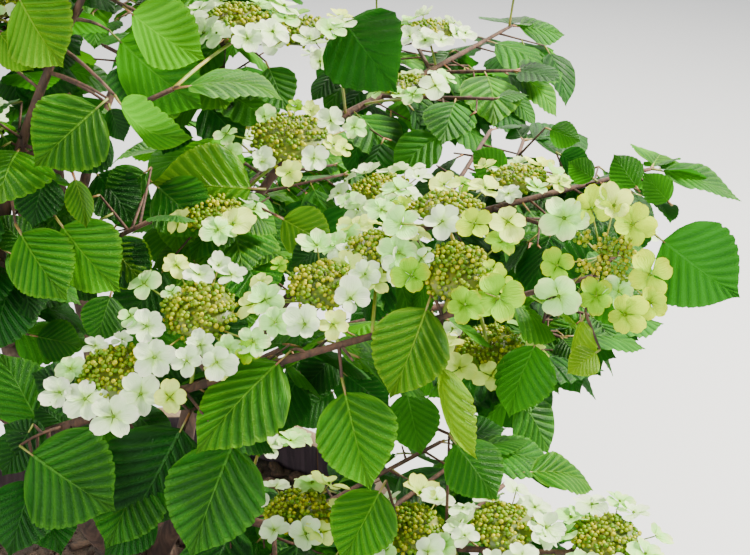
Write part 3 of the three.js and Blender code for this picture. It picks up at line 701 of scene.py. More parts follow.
def head_oak():
    """The cask's head: sawn boards side by side, with their grain along x and dark joints between."""
    finish = Finish("head_oak")
    x, y, _ = finish.parts(finish.place())
    board = (y / BOARD_WIDTH).whole()
    fibre = finish.grain(finish.vector(x * 9 + board * 4.1, y * 420), 1.0, 6.0, 0.62, 0.4)
    pores = finish.grain(finish.vector(x * 40, y * 1400, board), 1.0, 3.0, 0.7).smooth(0.6, 0.75)
    joint = (y / BOARD_WIDTH).off_whole().smooth(0.018, 0.008)
    damp = finish.grain(finish.place(), 9, 3.0).smooth(0.45, 0.65)
    body = finish.mix(fibre.smooth(0.3, 0.7), colour(94, 66, 47), colour(128, 96, 68))
    body = finish.mix(pores * 0.5, body, colour(60, 42, 33))
    body = finish.mix(damp * 0.5, body, colour(70, 50, 38))
    body = finish.mix(joint, body, colour(26, 19, 15))
    return finish.surface({
        "Base Color": body,
        "Roughness": fibre * 0.2 + 0.62,
        "Normal": finish.bump(fibre * 0.6 - pores * 0.3 - joint * 2, 0.0014),
    })


board_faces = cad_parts["base_board"].data.materials
board_faces.clear()
board_faces.append(head_oak())
print("the base board keeps its solid's shape")

# %% [markdown]
# Every limb is a curve with one control point and two radii. The stems leave the stool at its top, the
# boughs leave the stems, and the masses of foliage carry the boughs' curves on. These are the sizes of
# the solids, so the bark and the leaves made here fit them.

# %% Sizes of the limbs
CLEAR = 0.3
STOOL = {"height": 88, "foot": 60, "neck": 38, "top": 35, "lean": (-4, -6), "lobes": 5, "lobe_depth": 0.16}
FORK = {"radius": 20, "sink": 8}
STEM_BOW = (0.8, 0.8, 0.42)
BOUGH_BOW = (0.5, 0.5, 0.85)
BOUGH_RADII = (5.6, 4)
STEMS = {
    "stem_front": {"bearing": -105, "tip": (-40, -209, 850), "radii": (12, 6.2)},
    "stem_right": {"bearing": -25, "tip": (120, -62, 810), "radii": (11.5, 5.4)},
    "stem_back_right": {"bearing": 45, "tip": (90, 130, 860), "radii": (12, 5.8)},
    "stem_back_left": {"bearing": 118, "tip": (-85, 150, 900), "radii": (12, 6)},
    "stem_left": {"bearing": 190, "tip": (-150, -20, 840), "radii": (11.5, 5.6)},
}
BOUGHS = {
    "bough_front_right": {"stem": "stem_front", "at": 0.74, "tip": (-5, -285, 815), "bow": (-0.2, 0.8, 0.65)},
    "bough_right": {"stem": "stem_right", "at": 0.62, "tip": (240, -70, 862)},
    "bough_back_right": {"stem": "stem_back_right", "at": 0.68, "tip": (210, 160, 885)},
    "bough_back": {"stem": "stem_back_left", "at": 0.7, "tip": (-15, 290, 915)},
    "bough_back_left": {"stem": "stem_back_left", "at": 0.6, "tip": (-255, 205, 885)},
    "bough_left": {"stem": "stem_left", "at": 0.7, "tip": (-295, -15, 880)},
    "bough_front_left": {"stem": "stem_left", "at": 0.58, "tip": (-185, -225, 880)},
    "low_bough_front_right": {"stem": "stem_front", "at": 0.42, "tip": (120, -225, 690)},
    "low_bough_right": {"stem": "stem_back_right", "at": 0.36, "tip": (245, 95, 680)},
    "low_bough_back": {"stem": "stem_back_right", "at": 0.5, "tip": (75, 290, 700)},
    "low_bough_left": {"stem": "stem_left", "at": 0.4, "tip": (-260, 60, 670)},
    "low_bough_front": {"stem": "stem_front", "at": 0.5, "tip": (-110, -310, 690)},
}
limbs = {}


def bend(curve, share):
    start, control, end = curve
    rest = 1 - share
    return rest * rest * start + 2 * rest * share * control + share * share * end


def heading(curve, share):
    start, control, end = curve
    return unit((1 - share) * (control - start) + share * (end - control))


def way_at(turn, rise=0.0):
    """A way that points out from the upright at this turn."""
    return np.array([math.cos(turn), math.sin(turn), rise])


def straight(start, end):
    return start, (start + end) / 2, end


def curve_between(start, end, bow):
    start, end = np.array(start, float), np.array(end, float)
    return start, start + (end - start) * np.array(bow), end


def plan_limbs():
    top = SOIL["crown"] + CLEAR + STOOL["height"]
    for name, stem in STEMS.items():
        bearing = math.radians(stem["bearing"])
        start = (
            STOOL["lean"][0] + FORK["radius"] * math.cos(bearing),
            STOOL["lean"][1] + FORK["radius"] * math.sin(bearing),
            top - FORK["sink"],
        )
        limbs[name] = {"curve": curve_between(start, stem["tip"], STEM_BOW), "radii": stem["radii"]}
    for name, bough in BOUGHS.items():
        start = bend(limbs[bough["stem"]]["curve"], bough["at"])
        curve = curve_between(start, bough["tip"], bough.get("bow", BOUGH_BOW))
        limbs[name] = {"curve": curve, "radii": BOUGH_RADII}


plan_limbs()
print("limbs:", len(limbs))

# %% [markdown]
# Bark is a mesh of its own with real relief. A tube is a cone with many rings whose corners are moved
# onto the limb's curve, and noise raises the ridges. Rings of old bud scars show where the pairs of
# shoots once stood.

# %% Tubes along curves
def tube_template(sides, steps):
    """A closed tube of radius 1 whose z runs from 0 to 1."""
    shape = bmesh.new()
    bmesh.ops.create_cone(shape, cap_ends=True, segments=sides, radius1=1, radius2=1, depth=1)
    bmesh.ops.translate(shape, vec=(0, 0, 0.5), verts=shape.verts)
    if steps > 1:
        upright = [edge for edge in shape.edges if abs(edge.verts[0].co.z - edge.verts[1].co.z) > 0.5]
        bmesh.ops.subdivide_edges(shape, edges=upright, cuts=steps - 1, use_grid_fill=True)
    write_own_map(shape, lambda co: (math.atan2(co.y, co.x) / math.tau + 0.5, co.z))
    return Template(shape)


def along_curves(template, curves, radii, swell=None):
    """The template's corners along each curve. curves is copies × 3 × 3 and radii copies × 2."""
    curves, radii = np.asarray(curves, float), np.asarray(radii, float)
    share = template.points[:, 2][None, :, None]
    curve = [curves[:, i][:, None, :] for i in range(3)]
    middle, along = bend(curve, share), heading(curve, share)
    chord = unit(curve[2] - curve[0])
    sideways = np.where(np.abs(chord[..., 2:]) > 0.75, np.array([0.0, 1.0, 0.0]), UP)
    across = unit(np.cross(np.broadcast_to(sideways, along.shape), along))
    over = np.cross(along, across)
    radius = radii[:, :1, None] + (radii[:, 1:, None] - radii[:, :1, None]) * share
    if swell is not None:
        radius = radius * swell
    x, y = template.points[:, 0][None, :, None], template.points[:, 1][None, :, None]
    return middle + (across * x + over * y) * radius


RIDGE = {"around": 2.2, "length": 55}
SCAR = {"spacing": 58, "swell": 0.14, "width": 3.2}


def bark_swell(template, length, seed, depth, scar_spacing):
    """How much the bark stands out at each corner: long ridges, and rings of bud scars."""
    swell = np.ones(len(template.points))
    for i, (x, y, z) in enumerate(template.points):
        place = Vector((x * RIDGE["around"], y * RIDGE["around"], z * length / RIDGE["length"] + seed))
        ridge = noise.fractal(place, 0.8, 2.2, 3)
        scar = abs((z * length / scar_spacing + 0.5) % 1 - 0.5) * scar_spacing
        swell[i] += depth * ridge + SCAR["swell"] * math.exp(-((scar / SCAR["width"]) ** 2))
    return swell[None, :, None]


print("a tube's own map runs round it and along it")

# %% [markdown]
# The old bark of the stool and stems is grey-brown, cracked lengthways and spotted with lichen. The
# boughs and twigs keep the smooth reddish bark of the last years, with the same pattern drawn finer.

# %% Bark finishes
def bark_finish(name, base, ridge, dark, scale):
    finish = Finish(name)
    place = finish.place()
    fissure = finish.grain(finish.stretched(place, (1, 1, 0.25)), scale, 6.0, 0.65, 0.5)
    lichen = finish.grain(place, 38, 3.0).smooth(0.58, 0.7)
    warts = finish.cells(place, 170).smooth(0.2, 0.1) * lichen.smooth(0.0, 0.4)
    body = finish.mix(fissure.smooth(0.35, 0.65), dark, base)
    body = finish.mix(lichen * 0.45, body, ridge)
    body = finish.mix(warts * 0.5, body, ridge)
    return finish.surface({
        "Base Color": body,
        "Roughness": 0.82,
        "Normal": finish.bump(fissure + warts * 0.3, 0.0012),
    })


old_bark = bark_finish("old_bark", colour(96, 70, 56), colour(150, 128, 108), colour(52, 36, 30), 90)
young_bark = bark_finish("young_bark", colour(92, 60, 44), colour(134, 104, 80), colour(52, 34, 28), 190)
print("bark finishes ready")

# %% [markdown]
# The stool is the old foot that all stems spring from. Cutting back has left it short and thick. Its
# cone swells under each stem and flares into root lobes at the soil.

# %% Stool, stems and boughs
SHOULDER = {"swell": 4, "half_width": 0.42, "round_from": 0.85, "round_by": 0.24, "rise": 8, "sink": 2}
STOOL_RIDGES = 0.05
FOOT_FLARE = {"swell": 0.28, "reach": 16}


def stool_bark():
    """The short leaning trunk: a cone with many rings, flared into root lobes at the soil."""
    shape = bmesh.new()
    bmesh.ops.create_cone(shape, cap_ends=True, segments=72, radius1=1, radius2=1, depth=1)
    upright = [edge for edge in shape.edges if abs(edge.verts[0].co.z - edge.verts[1].co.z) > 0.5]
    bmesh.ops.subdivide_edges(shape, edges=upright, cuts=27, use_grid_fill=True)
    foot = SOIL["crown"] + CLEAR
    bearings = [math.radians(stem["bearing"]) for stem in STEMS.values()]
    half_width, round_from = SHOULDER["half_width"], SHOULDER["round_from"]
    for vert in shape.verts:
        share = vert.co.z + 0.5
        flare = (1 - share) ** 3
        angle = math.atan2(vert.co.x, vert.co.y)
        lobe = 1 + STOOL["lobe_depth"] * flare * math.cos(STOOL["lobes"] * angle)
        plain = STOOL["neck"] + (STOOL["top"] - STOOL["neck"]) * share
        plain += (STOOL["foot"] - STOOL["neck"]) * flare
        turns = [math.remainder(angle - math.pi / 2 - bearing, math.tau) for bearing in bearings]
        shoulder = SHOULDER["swell"] * share**5 * sum(math.exp(-((turn / half_width) ** 2)) for turn in turns)
        around = Vector((math.cos(angle) * 3, math.sin(angle) * 3, share * 1.4))
        ridges = STOOL_RIDGES * noise.fractal(around, 0.8, 2.2, 4)
        from_middle = math.hypot(vert.co.x, vert.co.y)
        plain *= 1 - SHOULDER["round_by"] * max(0, (share - round_from) / (1 - round_from)) ** 2
        radius = (plain * lobe * (0.98 + ridges) + shoulder) * from_middle
        rise = SHOULDER["rise"] * (1 - from_middle**2) * (share > 0.99)
        vert.co = (
            STOOL["lean"][0] * share + math.sin(angle) * radius,
            STOOL["lean"][1] * share - math.cos(angle) * radius,
            foot + share * STOOL["height"] - SHOULDER["sink"] + rise,
        )
    bmesh.ops.recalc_face_normals(shape, faces=shape.faces)
    piece_from(shape, "stool_bark", old_bark, ["stool"])


def limb_bark(name, members, sides, step, depth, material, flare=0.0):
    batch = Batch()
    for number, member in enumerate(members):
        limb = limbs[member]
        length = np.linalg.norm(limb["curve"][2] - limb["curve"][0])
        template = tube_template(sides, round(length / step))
        swell = bark_swell(template, length, 7.3 * number, depth, SCAR["spacing"])
        swell += flare * np.exp(-((template.points[:, 2:] * length / FOOT_FLARE["reach"]) ** 2))[None]
        batch.add(template, along_curves(template, [limb["curve"]], [limb["radii"]], swell))
    batch.piece(name, material, "bark", members)


stool_bark()
limb_bark("stem_bark", list(STEMS), 16, 7, 0.1, old_bark, FOOT_FLARE["swell"])
limb_bark("bough_bark", list(BOUGHS), 12, 6, 0.08, young_bark)

# %% [markdown]
# Each mass of foliage grows by one seeded rule. Its twig carries the bough on, pairs of shoots stand at
# even spacings, and a shoot ends in a flower head over a pair of leaves or in one leaf. Whatever would
# leave the mass's own space or cross a limb, a twig, a leaf or a head is skipped. Heads and leaves that
# the photograph shows plainly are laid one by one.

# %% Sizes of the masses
MASSES = {
    "leader_front": {
        "tip": (92, -202, 1190),
        "leaves": [
            ((66, -231, 1064), (17, -264, 1027)),
            ((73, -240, 1070), (129, -276, 1048)),
            ((2, -194, 1129), (40, -240, 1089)),
            ((-3, -257, 980), (40, -310, 948)),
            ((25, -255, 985), (75, -300, 948)),
            ((57, -164, 1090), (127, -203, 1043)),
            ((72, -180, 1113), (132, -209, 1082)),
            ((39, -246, 1015), (52, -275, 985)),
            ((-14, -198, 1103), (15, -222, 1080)),
            ((65, -226, 1058), (77, -245, 1037)),
            ((64, -218, 1037), (34, -243, 1014)),
        ],
        "claims": [(30, -270, 985)],
        "leafy": True, "shade": 0.6,
    },
    "leader_right": {
        "tip": (130, -145, 945),
        "heads": [(126, -186, 954), (182, -114, 985)],
        "leans": (0, 12), "spans": (1, 1.25),
        "leaves": [((173, -182, 949), (220, -201, 930)), ((165, -160, 960), (78, -176, 974))],
    },
    "leader_back_right": {"tip": (130, 150, 1235)},
    "leader_back_left": {"tip": (-105, 175, 1335)},
    "leader_left": {"tip": (-205, -55, 1215)},
    "tier_front_right": {
        "tip": (404, -270, 945), "laid_by_hand": True,
        "heads": [
            (412, -270, 962), (302, -237, 984), (307, -280, 956), (215, -285, 948), (252, -250, 955),
            (128, -297, 935), (69, -321, 898), (339, -234, 862),
        ],
        "leans": (58, -6, 22, 8, 5, 17, 18, 10),
        "leaves": [
            ((0, -335, 845), (74, -381, 824)),
            ((117, -307, 854), (68, -360, 781)),
            ((155, -329, 856), (123, -398, 795)),
            ((192, -310, 909), (127, -370, 864)),
            ((289, -295, 945), (260, -348, 892)),
            ((227, -323, 895), (247, -379, 839)),
            ((296, -302, 902), (317, -360, 842)),
            ((372, -258, 888), (345, -302, 843)),
            ((449, -242, 966), (508, -284, 934)),
            ((398, -288, 926), (387, -319, 892)),
        ],
    },
    "tier_right": {
        "tip": (500, -5, 905),
        "heads": [(254, -87, 925), (375, -65, 925)],
        "leafy": True, "shade": 1.3,
    },
    "tier_back_right": {
        "tip": (405, 335, 925),
        "heads": [(221, 96, 972), (284, 108, 942), (309, 246, 951)], "shade": 1.0,
        "claims": [(235, 112, 950)],
    },
    "tier_back": {"tip": (-20, 545, 950)},
    "tier_back_left": {"tip": (-455, 320, 940)},
    "tier_left": {"tip": (-545, -35, 925)},
    "tier_front_left": {"tip": (-335, -430, 930)},
    "low_front_right": {
        "tip": (440, -312, 725), "shade": 0.7,
        "heads": [(192, -296, 753), (277, -305, 744), (349, -308, 748), (427, -309, 738)],
        "leaves": [((306, -278, 812), (342, -320, 780)), ((258, -318, 800), (225, -362, 758))],
    },
    "low_right": {"tip": (515, 190, 690), "shade": 1.0},
    "low_back": {"tip": (170, 535, 705)},
    "low_left": {"tip": (-520, 170, 680)},
    "low_front": {"tip": (-250, -470, 700)},
}
LIMB_OF_KIND = {"leader": "stem", "tier": "bough", "low": "low_bough"}
for mass_number, (mass_name, mass) in enumerate(MASSES.items()):
    kind, side = mass_name.split("_", 1)
    mass["limb"] = f"{LIMB_OF_KIND[kind]}_{side}"
    mass["seed"] = 2 * mass_number + 3
    mass["upright"] = kind == "leader"
print("masses:", len(MASSES))

# %% [markdown]
# The rule's own sizes are those of the species: shoots about six centimetres apart, leaves of eight to
# ten, flower heads of eight, and stalks that lift the heads clear of the leaves. A pair of numbers is a
# least value and how much the draw can add.

# %% Sizes of the rule
NODE_SPACING = 62
LEAF = {
    "length": 84, "spread": 14, "width_share": 0.72, "widest": 0.48, "bare": 0.08, "step": 5, "roll": 0.7,
}
HEAD = {"radius": 41, "spread": 4, "laid_radius": 44, "rise": 15, "nearest": 1, "nearest_laid": 0.45}
STAGGER = 0.05
PEDUNCLE = 52
PEDUNCLE_CHECKS = (0.4, 0.7)
TWIG = {"tip": 1.8, "branch": 2.4, "spur": 29}
TWIG_CHECKS = (0.35, 0.7, 1)
QUARTERS = (0, 0.25, 0.5, 0.75)
SPUR_LIFT = 5
SPUR_RADII = (1.6, 1.0)
BRANCH = {
    "share": 0.5, "longest": 150, "nodes": 2, "at": 0.02, "fade": 1.25,
    "forward": 0.6, "lift": 0.1, "length": (0.85, 0.3),
}
SHOOT = {
    "at": 0.3, "droop": (0.3, 0.6), "forward": (0.2, 0.3), "rise": (0.85, 0.3),
    "reach": 0.3, "second": 0.85, "second_side": 0.5,
}
TIP = {"leaf": 0.95, "spread": 0.95, "droop": 0.35, "head_on": 6, "flower_share": 0.5}
FLOWER_SHARE = 0.36
MASS_EASE = 0.4
SPACE_MARGIN = 3
LIMB_MARGIN = 3
CLAIM_SHARES = (0, 0.2, 0.4, 0.6, 0.8, 1)
LIMB_STEPS = 8
print("leaf length and its spread:", LEAF["length"], LEAF["spread"])

# %% [markdown]
# The rule asks three questions again and again: is a point in the mass's own space, is it clear of the
# limbs, and does a line pass through a triangle. A mass owns whatever lies nearest to its own curve, so
# neighbours never grow into each other.

# %% A mass's own space
curves = {}


def plan_mass(name):
    mass, limb = MASSES[name], limbs[MASSES[name]["limb"]]
    along = heading(limb["curve"], 1)
    start = limb["curve"][2] + CLEAR * along
    end = np.array(mass["tip"], float)
    return start, start + along * MASS_EASE * np.linalg.norm(end - start), end


def claims_of(name):
    extra = [np.array(place, float) for place in MASSES[name].get("claims", [])]
    return [bend(curves[name], share) for share in CLAIM_SHARES] + extra


for mass_name in MASSES:
    curves[mass_name] = plan_mass(mass_name)
claim_points = np.concatenate([claims_of(name) for name in MASSES])
claim_owners = np.concatenate([[number] * len(claims_of(name)) for number, name in enumerate(MASSES)])
mass_numbers = {name: number for number, name in enumerate(MASSES)}


def limb_segments():
    starts, ends, radii = [], [], []
    for limb in limbs.values():
        for step in range(LIMB_STEPS):
            starts.append(bend(limb["curve"], step / LIMB_STEPS))
            ends.append(bend(limb["curve"], (step + 1) / LIMB_STEPS))
            radii.append(limb["radii"][0] + (limb["radii"][1] - limb["radii"][0]) * step / LIMB_STEPS)
    return np.array(starts), np.array(ends), np.array(radii)


LIMB_STARTS, LIMB_ENDS, LIMB_RADII = limb_segments()


def in_own_space(name, points, margin=SPACE_MARGIN):
    distances = np.linalg.norm(np.asarray(points)[:, None] - claim_points[None], axis=2)
    own = claim_owners == mass_numbers[name]
    return bool(np.all(distances[:, ~own].min(axis=1) > distances[:, own].min(axis=1) + margin))


def clear_of_limbs(points):
    way = LIMB_ENDS - LIMB_STARTS
    off = np.asarray(points)[:, None] - LIMB_STARTS[None]
    share = np.clip((off * way).sum(axis=2) / (way * way).sum(axis=1), 0, 1)
    distance = np.linalg.norm(off - share[..., None] * way, axis=2)
    return bool(np.all(distance >= LIMB_RADII + LIMB_MARGIN))


print("points that claim space:", len(claim_points))

# %% [markdown]
# Whether a line passes through a triangle is answered for all pairs of lines and triangles at once. The
# stream of chance numbers is the source's own, so that the same leaves and heads come out here.

# %% Crossings and chance
NEARLY_FLAT = 1e-9
RANDOM = {"seed_step": 7919, "seed_start": 104729, "multiplier": 1664525, "increment": 1013904223}
RANDOM_RANGE = 2**32


def any_crossing(starts, ends, triangles):
    """Whether any of the ways from starts to ends passes through any of the triangles."""
    if not len(starts) or not len(triangles):
        return False
    starts, ends, triangles = np.asarray(starts), np.asarray(ends), np.asarray(triangles)
    way = (ends - starts)[:, None]
    corner = triangles[None, :, 0]
    first = triangles[None, :, 1] - corner
    second = triangles[None, :, 2] - corner
    normal = np.cross(way, second)
    size = (first * normal).sum(axis=2)
    flat = np.abs(size) < NEARLY_FLAT
    size = np.where(flat, 1, size)
    start = starts[:, None] - corner
    turned = np.cross(start, first)
    u = (start * normal).sum(axis=2) / size
    v = (way * turned).sum(axis=2) / size
    share = (second * turned).sum(axis=2) / size
    inside = (u >= 0) & (v >= 0) & (u + v <= 1) & (share >= 0) & (share <= 1)
    return bool(np.any(inside & ~flat))


class Chance:
    """The source's own repeatable stream of numbers from 0 to 1."""

    def __init__(self, seed):
        self.state = seed * RANDOM["seed_step"] + RANDOM["seed_start"]

    def draw(self):
        self.state = (RANDOM["multiplier"] * self.state + RANDOM["increment"]) % RANDOM_RANGE
        return self.state / RANDOM_RANGE

    def draw_in(self, span):
        """A number from the span's least up to that plus its width."""
        least, width = span
        return least + width * self.draw()


print("first number of the stream with seed 3:", round(Chance(3).draw(), 4))

# %% [markdown]
# A leaf is a foot, a heading, a direction across it and two sizes. That is enough for the rule, and a
# real blade is laid over it further on. Places on a leaf are shares along and across it.

# %% Leaves as the rule sees them
LEAF_PLACES = [(0.25, 0), (0.5, 0), (0.75, 0), (1, 0), (0.45, 1), (0.45, -1), (0.7, 0.5), (0.7, -0.5)]
LEAF_CORNERS = [(LEAF["bare"], 0), (LEAF["widest"], 1), (1, 0), (LEAF["widest"], -1)]


def make_leaf(foot, way, length, roll):
    along = unit(way)
    across = unit(np.cross(UP, along))
    across = across * math.cos(roll) + np.cross(along, across) * math.sin(roll)
    width = length * LEAF["width_share"]
    return {"foot": foot, "along": along, "across": across, "length": length, "width": width}


def laid_leaf(foot, tip):
    """A leaf laid at a given foot and tip, whose blade faces the viewpoint."""
    foot, tip = np.array(foot, float), np.array(tip, float)
    leaf = make_leaf(foot, tip - foot, float(np.linalg.norm(tip - foot)), 0)
    leaf["across"] = unit(np.cross(VIEWPOINT - foot, leaf["along"]))
    return leaf


def leaf_points(leaf, places=LEAF_PLACES):
    return [
        leaf["foot"] + leaf["along"] * along * leaf["length"] + leaf["across"] * across * leaf["width"] / 2
        for along, across in places
    ]


def leaf_corners(leaf):
    return leaf_points(leaf, LEAF_CORNERS)


def leaf_triangles(corners):
    foot, right, tip, left = corners
    return [(foot, right, left), (tip, left, right)]


print("places tested on a leaf:", len(LEAF_PLACES))

# %% [markdown]
# A head is a foot, a centre and a radius: a flat round that no stalk and no blade may pass through.
# What was laid one by one also stays in open view, so the lines of sight to it are kept free.

# %% Heads as the rule sees them
CROSS_TURN = 1.05
FIRST_NODE_AT = 0.05
CURVE_NODES = 20


def head_points(head):
    turns = [step * math.pi / 3 for step in range(6)]
    ring = [head["centre"] + head["radius"] * way_at(turn) for turn in turns]
    return [head["centre"] + HEAD["rise"] * UP] + ring


def passes_head(start, end, head):
    if end[2] == start[2]:
        return False
    share = (head["centre"][2] - start[2]) / (end[2] - start[2])
    if not 0 <= share <= 1:
        return False
    off = start + (end - start) * share - head["centre"]
    return math.hypot(off[0], off[1]) < head["radius"]


def leaf_meets_head(corners, head):
    middles = [(corners[i] + corners[(i + 1) % 4]) / 2 for i in range(4)]
    points = corners + middles + [(corners[0] + corners[2]) / 2]
    for point in points:
        off = point - head["centre"]
        if math.hypot(off[0], off[1]) < head["radius"] and abs(off[2]) < HEAD["rise"]:
            return True
    turns = [step * CROSS_TURN for step in range(3)]
    offsets = [head["radius"] * way_at(turn) for turn in turns]
    starts = [head["centre"] - offset for offset in offsets]
    ends = [head["centre"] + offset for offset in offsets]
    return any_crossing(starts, ends, leaf_triangles(corners))


def sight_ends(places):
    """Places on the leaves and heads laid one by one, which stay in open view from the viewpoint."""
    ends = []
    for mass in MASSES.values():
        for foot, tip in mass.get("leaves", []):
            ends += leaf_points(laid_leaf(foot, tip), places)
        for place in mass.get("heads", []):
            ends += head_points({"centre": np.array(place, float), "radius": HEAD["laid_radius"]})
    return np.array(ends)


def hides_laid(triangles, ends):
    return any_crossing(np.broadcast_to(VIEWPOINT, ends.shape), ends, triangles)


SIGHT_ENDS = sight_ends(LEAF_PLACES)


def nearest_node(curve, place):
    best = bend(curve, FIRST_NODE_AT)
    for step in range(2, CURVE_NODES + 1):
        point = bend(curve, step / CURVE_NODES)
        if np.linalg.norm(point - place) < np.linalg.norm(best - place):
            best = point
    return best


print("places kept in open view:", len(SIGHT_ENDS))

# %% [markdown]
# The plan of a mass comes before its pieces. Pairs of shoots stand at even steps along a twig, and each
# draws a heading, a flower head or none, and two leaves, whether or not there will be room for them.

# %% The plan of a mass
class Plan(Chance):
    """The shoots that one mass would like to grow."""

    def __init__(self, name):
        super().__init__(MASSES[name]["seed"])
        self.name = name
        self.mass = MASSES[name]
        self.curve = curves[name]
        self.upright = self.mass["upright"]
        self.length = float(np.linalg.norm(self.curve[2] - self.curve[0]))
        self.nodes = max(1, math.floor(self.length / NODE_SPACING + 0.5))
        self.twigs, self.leaves, self.heads, self.shoots = [], [], [], []

    def side_of(self, along, hand, number):
        """Tiers keep their shoots level on both sides, and leaders turn each pair by a right angle."""
        if not self.upright:
            return unit(np.cross(along, UP)) * hand
        return way_at(self.mass["seed"] + number * math.pi / 2) * hand

    def leaf_plan(self, way, scale):
        length = (LEAF["length"] + LEAF["spread"] * (2 * self.draw() - 1)) * scale
        return way, length, LEAF["roll"] * (self.draw() - 0.5)

    def head_radius(self):
        return HEAD["radius"] + HEAD["spread"] * (2 * self.draw() - 1)

    def plan_shoot(self, node, along, side):
        flowers = self.draw() < FLOWER_SHARE
        droop = self.draw_in(SHOOT["droop"])
        forward = self.draw_in(SHOOT["forward"])
        rise = PEDUNCLE * self.draw_in(SHOOT["rise"])
        leaves = [
            self.leaf_plan(side + along * forward - UP * droop, 1),
            self.leaf_plan(along + side * SHOOT["second_side"] - UP * droop, SHOOT["second"]),
        ]
        centre = node + side * (TWIG["spur"] + SHOOT["reach"] * rise) + UP * rise
        self.shoots.append({
            "node": node, "along": along, "centre": centre, "flowers": flowers,
            "radius": self.head_radius(), "leaves": leaves, "at_tip": False,
        })

    def plan_twig(self, curve, nodes, first):
        for number in range(first, nodes):
            for hand in (1, -1):
                share = (number + SHOOT["at"] + STAGGER * hand) / nodes
                along = heading(curve, share)
                self.plan_shoot(bend(curve, share), along, self.side_of(along, hand, number))
        along = heading(curve, 1)
        sides = [self.side_of(along, hand, 0) for hand in (1, -1)]
        leaves = [
            self.leaf_plan(along + side * TIP["spread"] - UP * TIP["droop"], TIP["leaf"]) for side in sides
        ]
        self.shoots.append({
            "node": curve[2], "along": -along, "centre": curve[2] + UP * PEDUNCLE + along * TIP["head_on"],
            "flowers": self.draw() < TIP["flower_share"], "radius": self.head_radius(),
            "leaves": leaves, "at_tip": True,
        })


print("a shoot flowers with a chance of", FLOWER_SHARE)

# %% [markdown]
# Heads claim their room before the leaves, as they do on the shrub, where a flowering shoot opens above
# its last pair of leaves. Whatever meets something that is already there isn't grown.

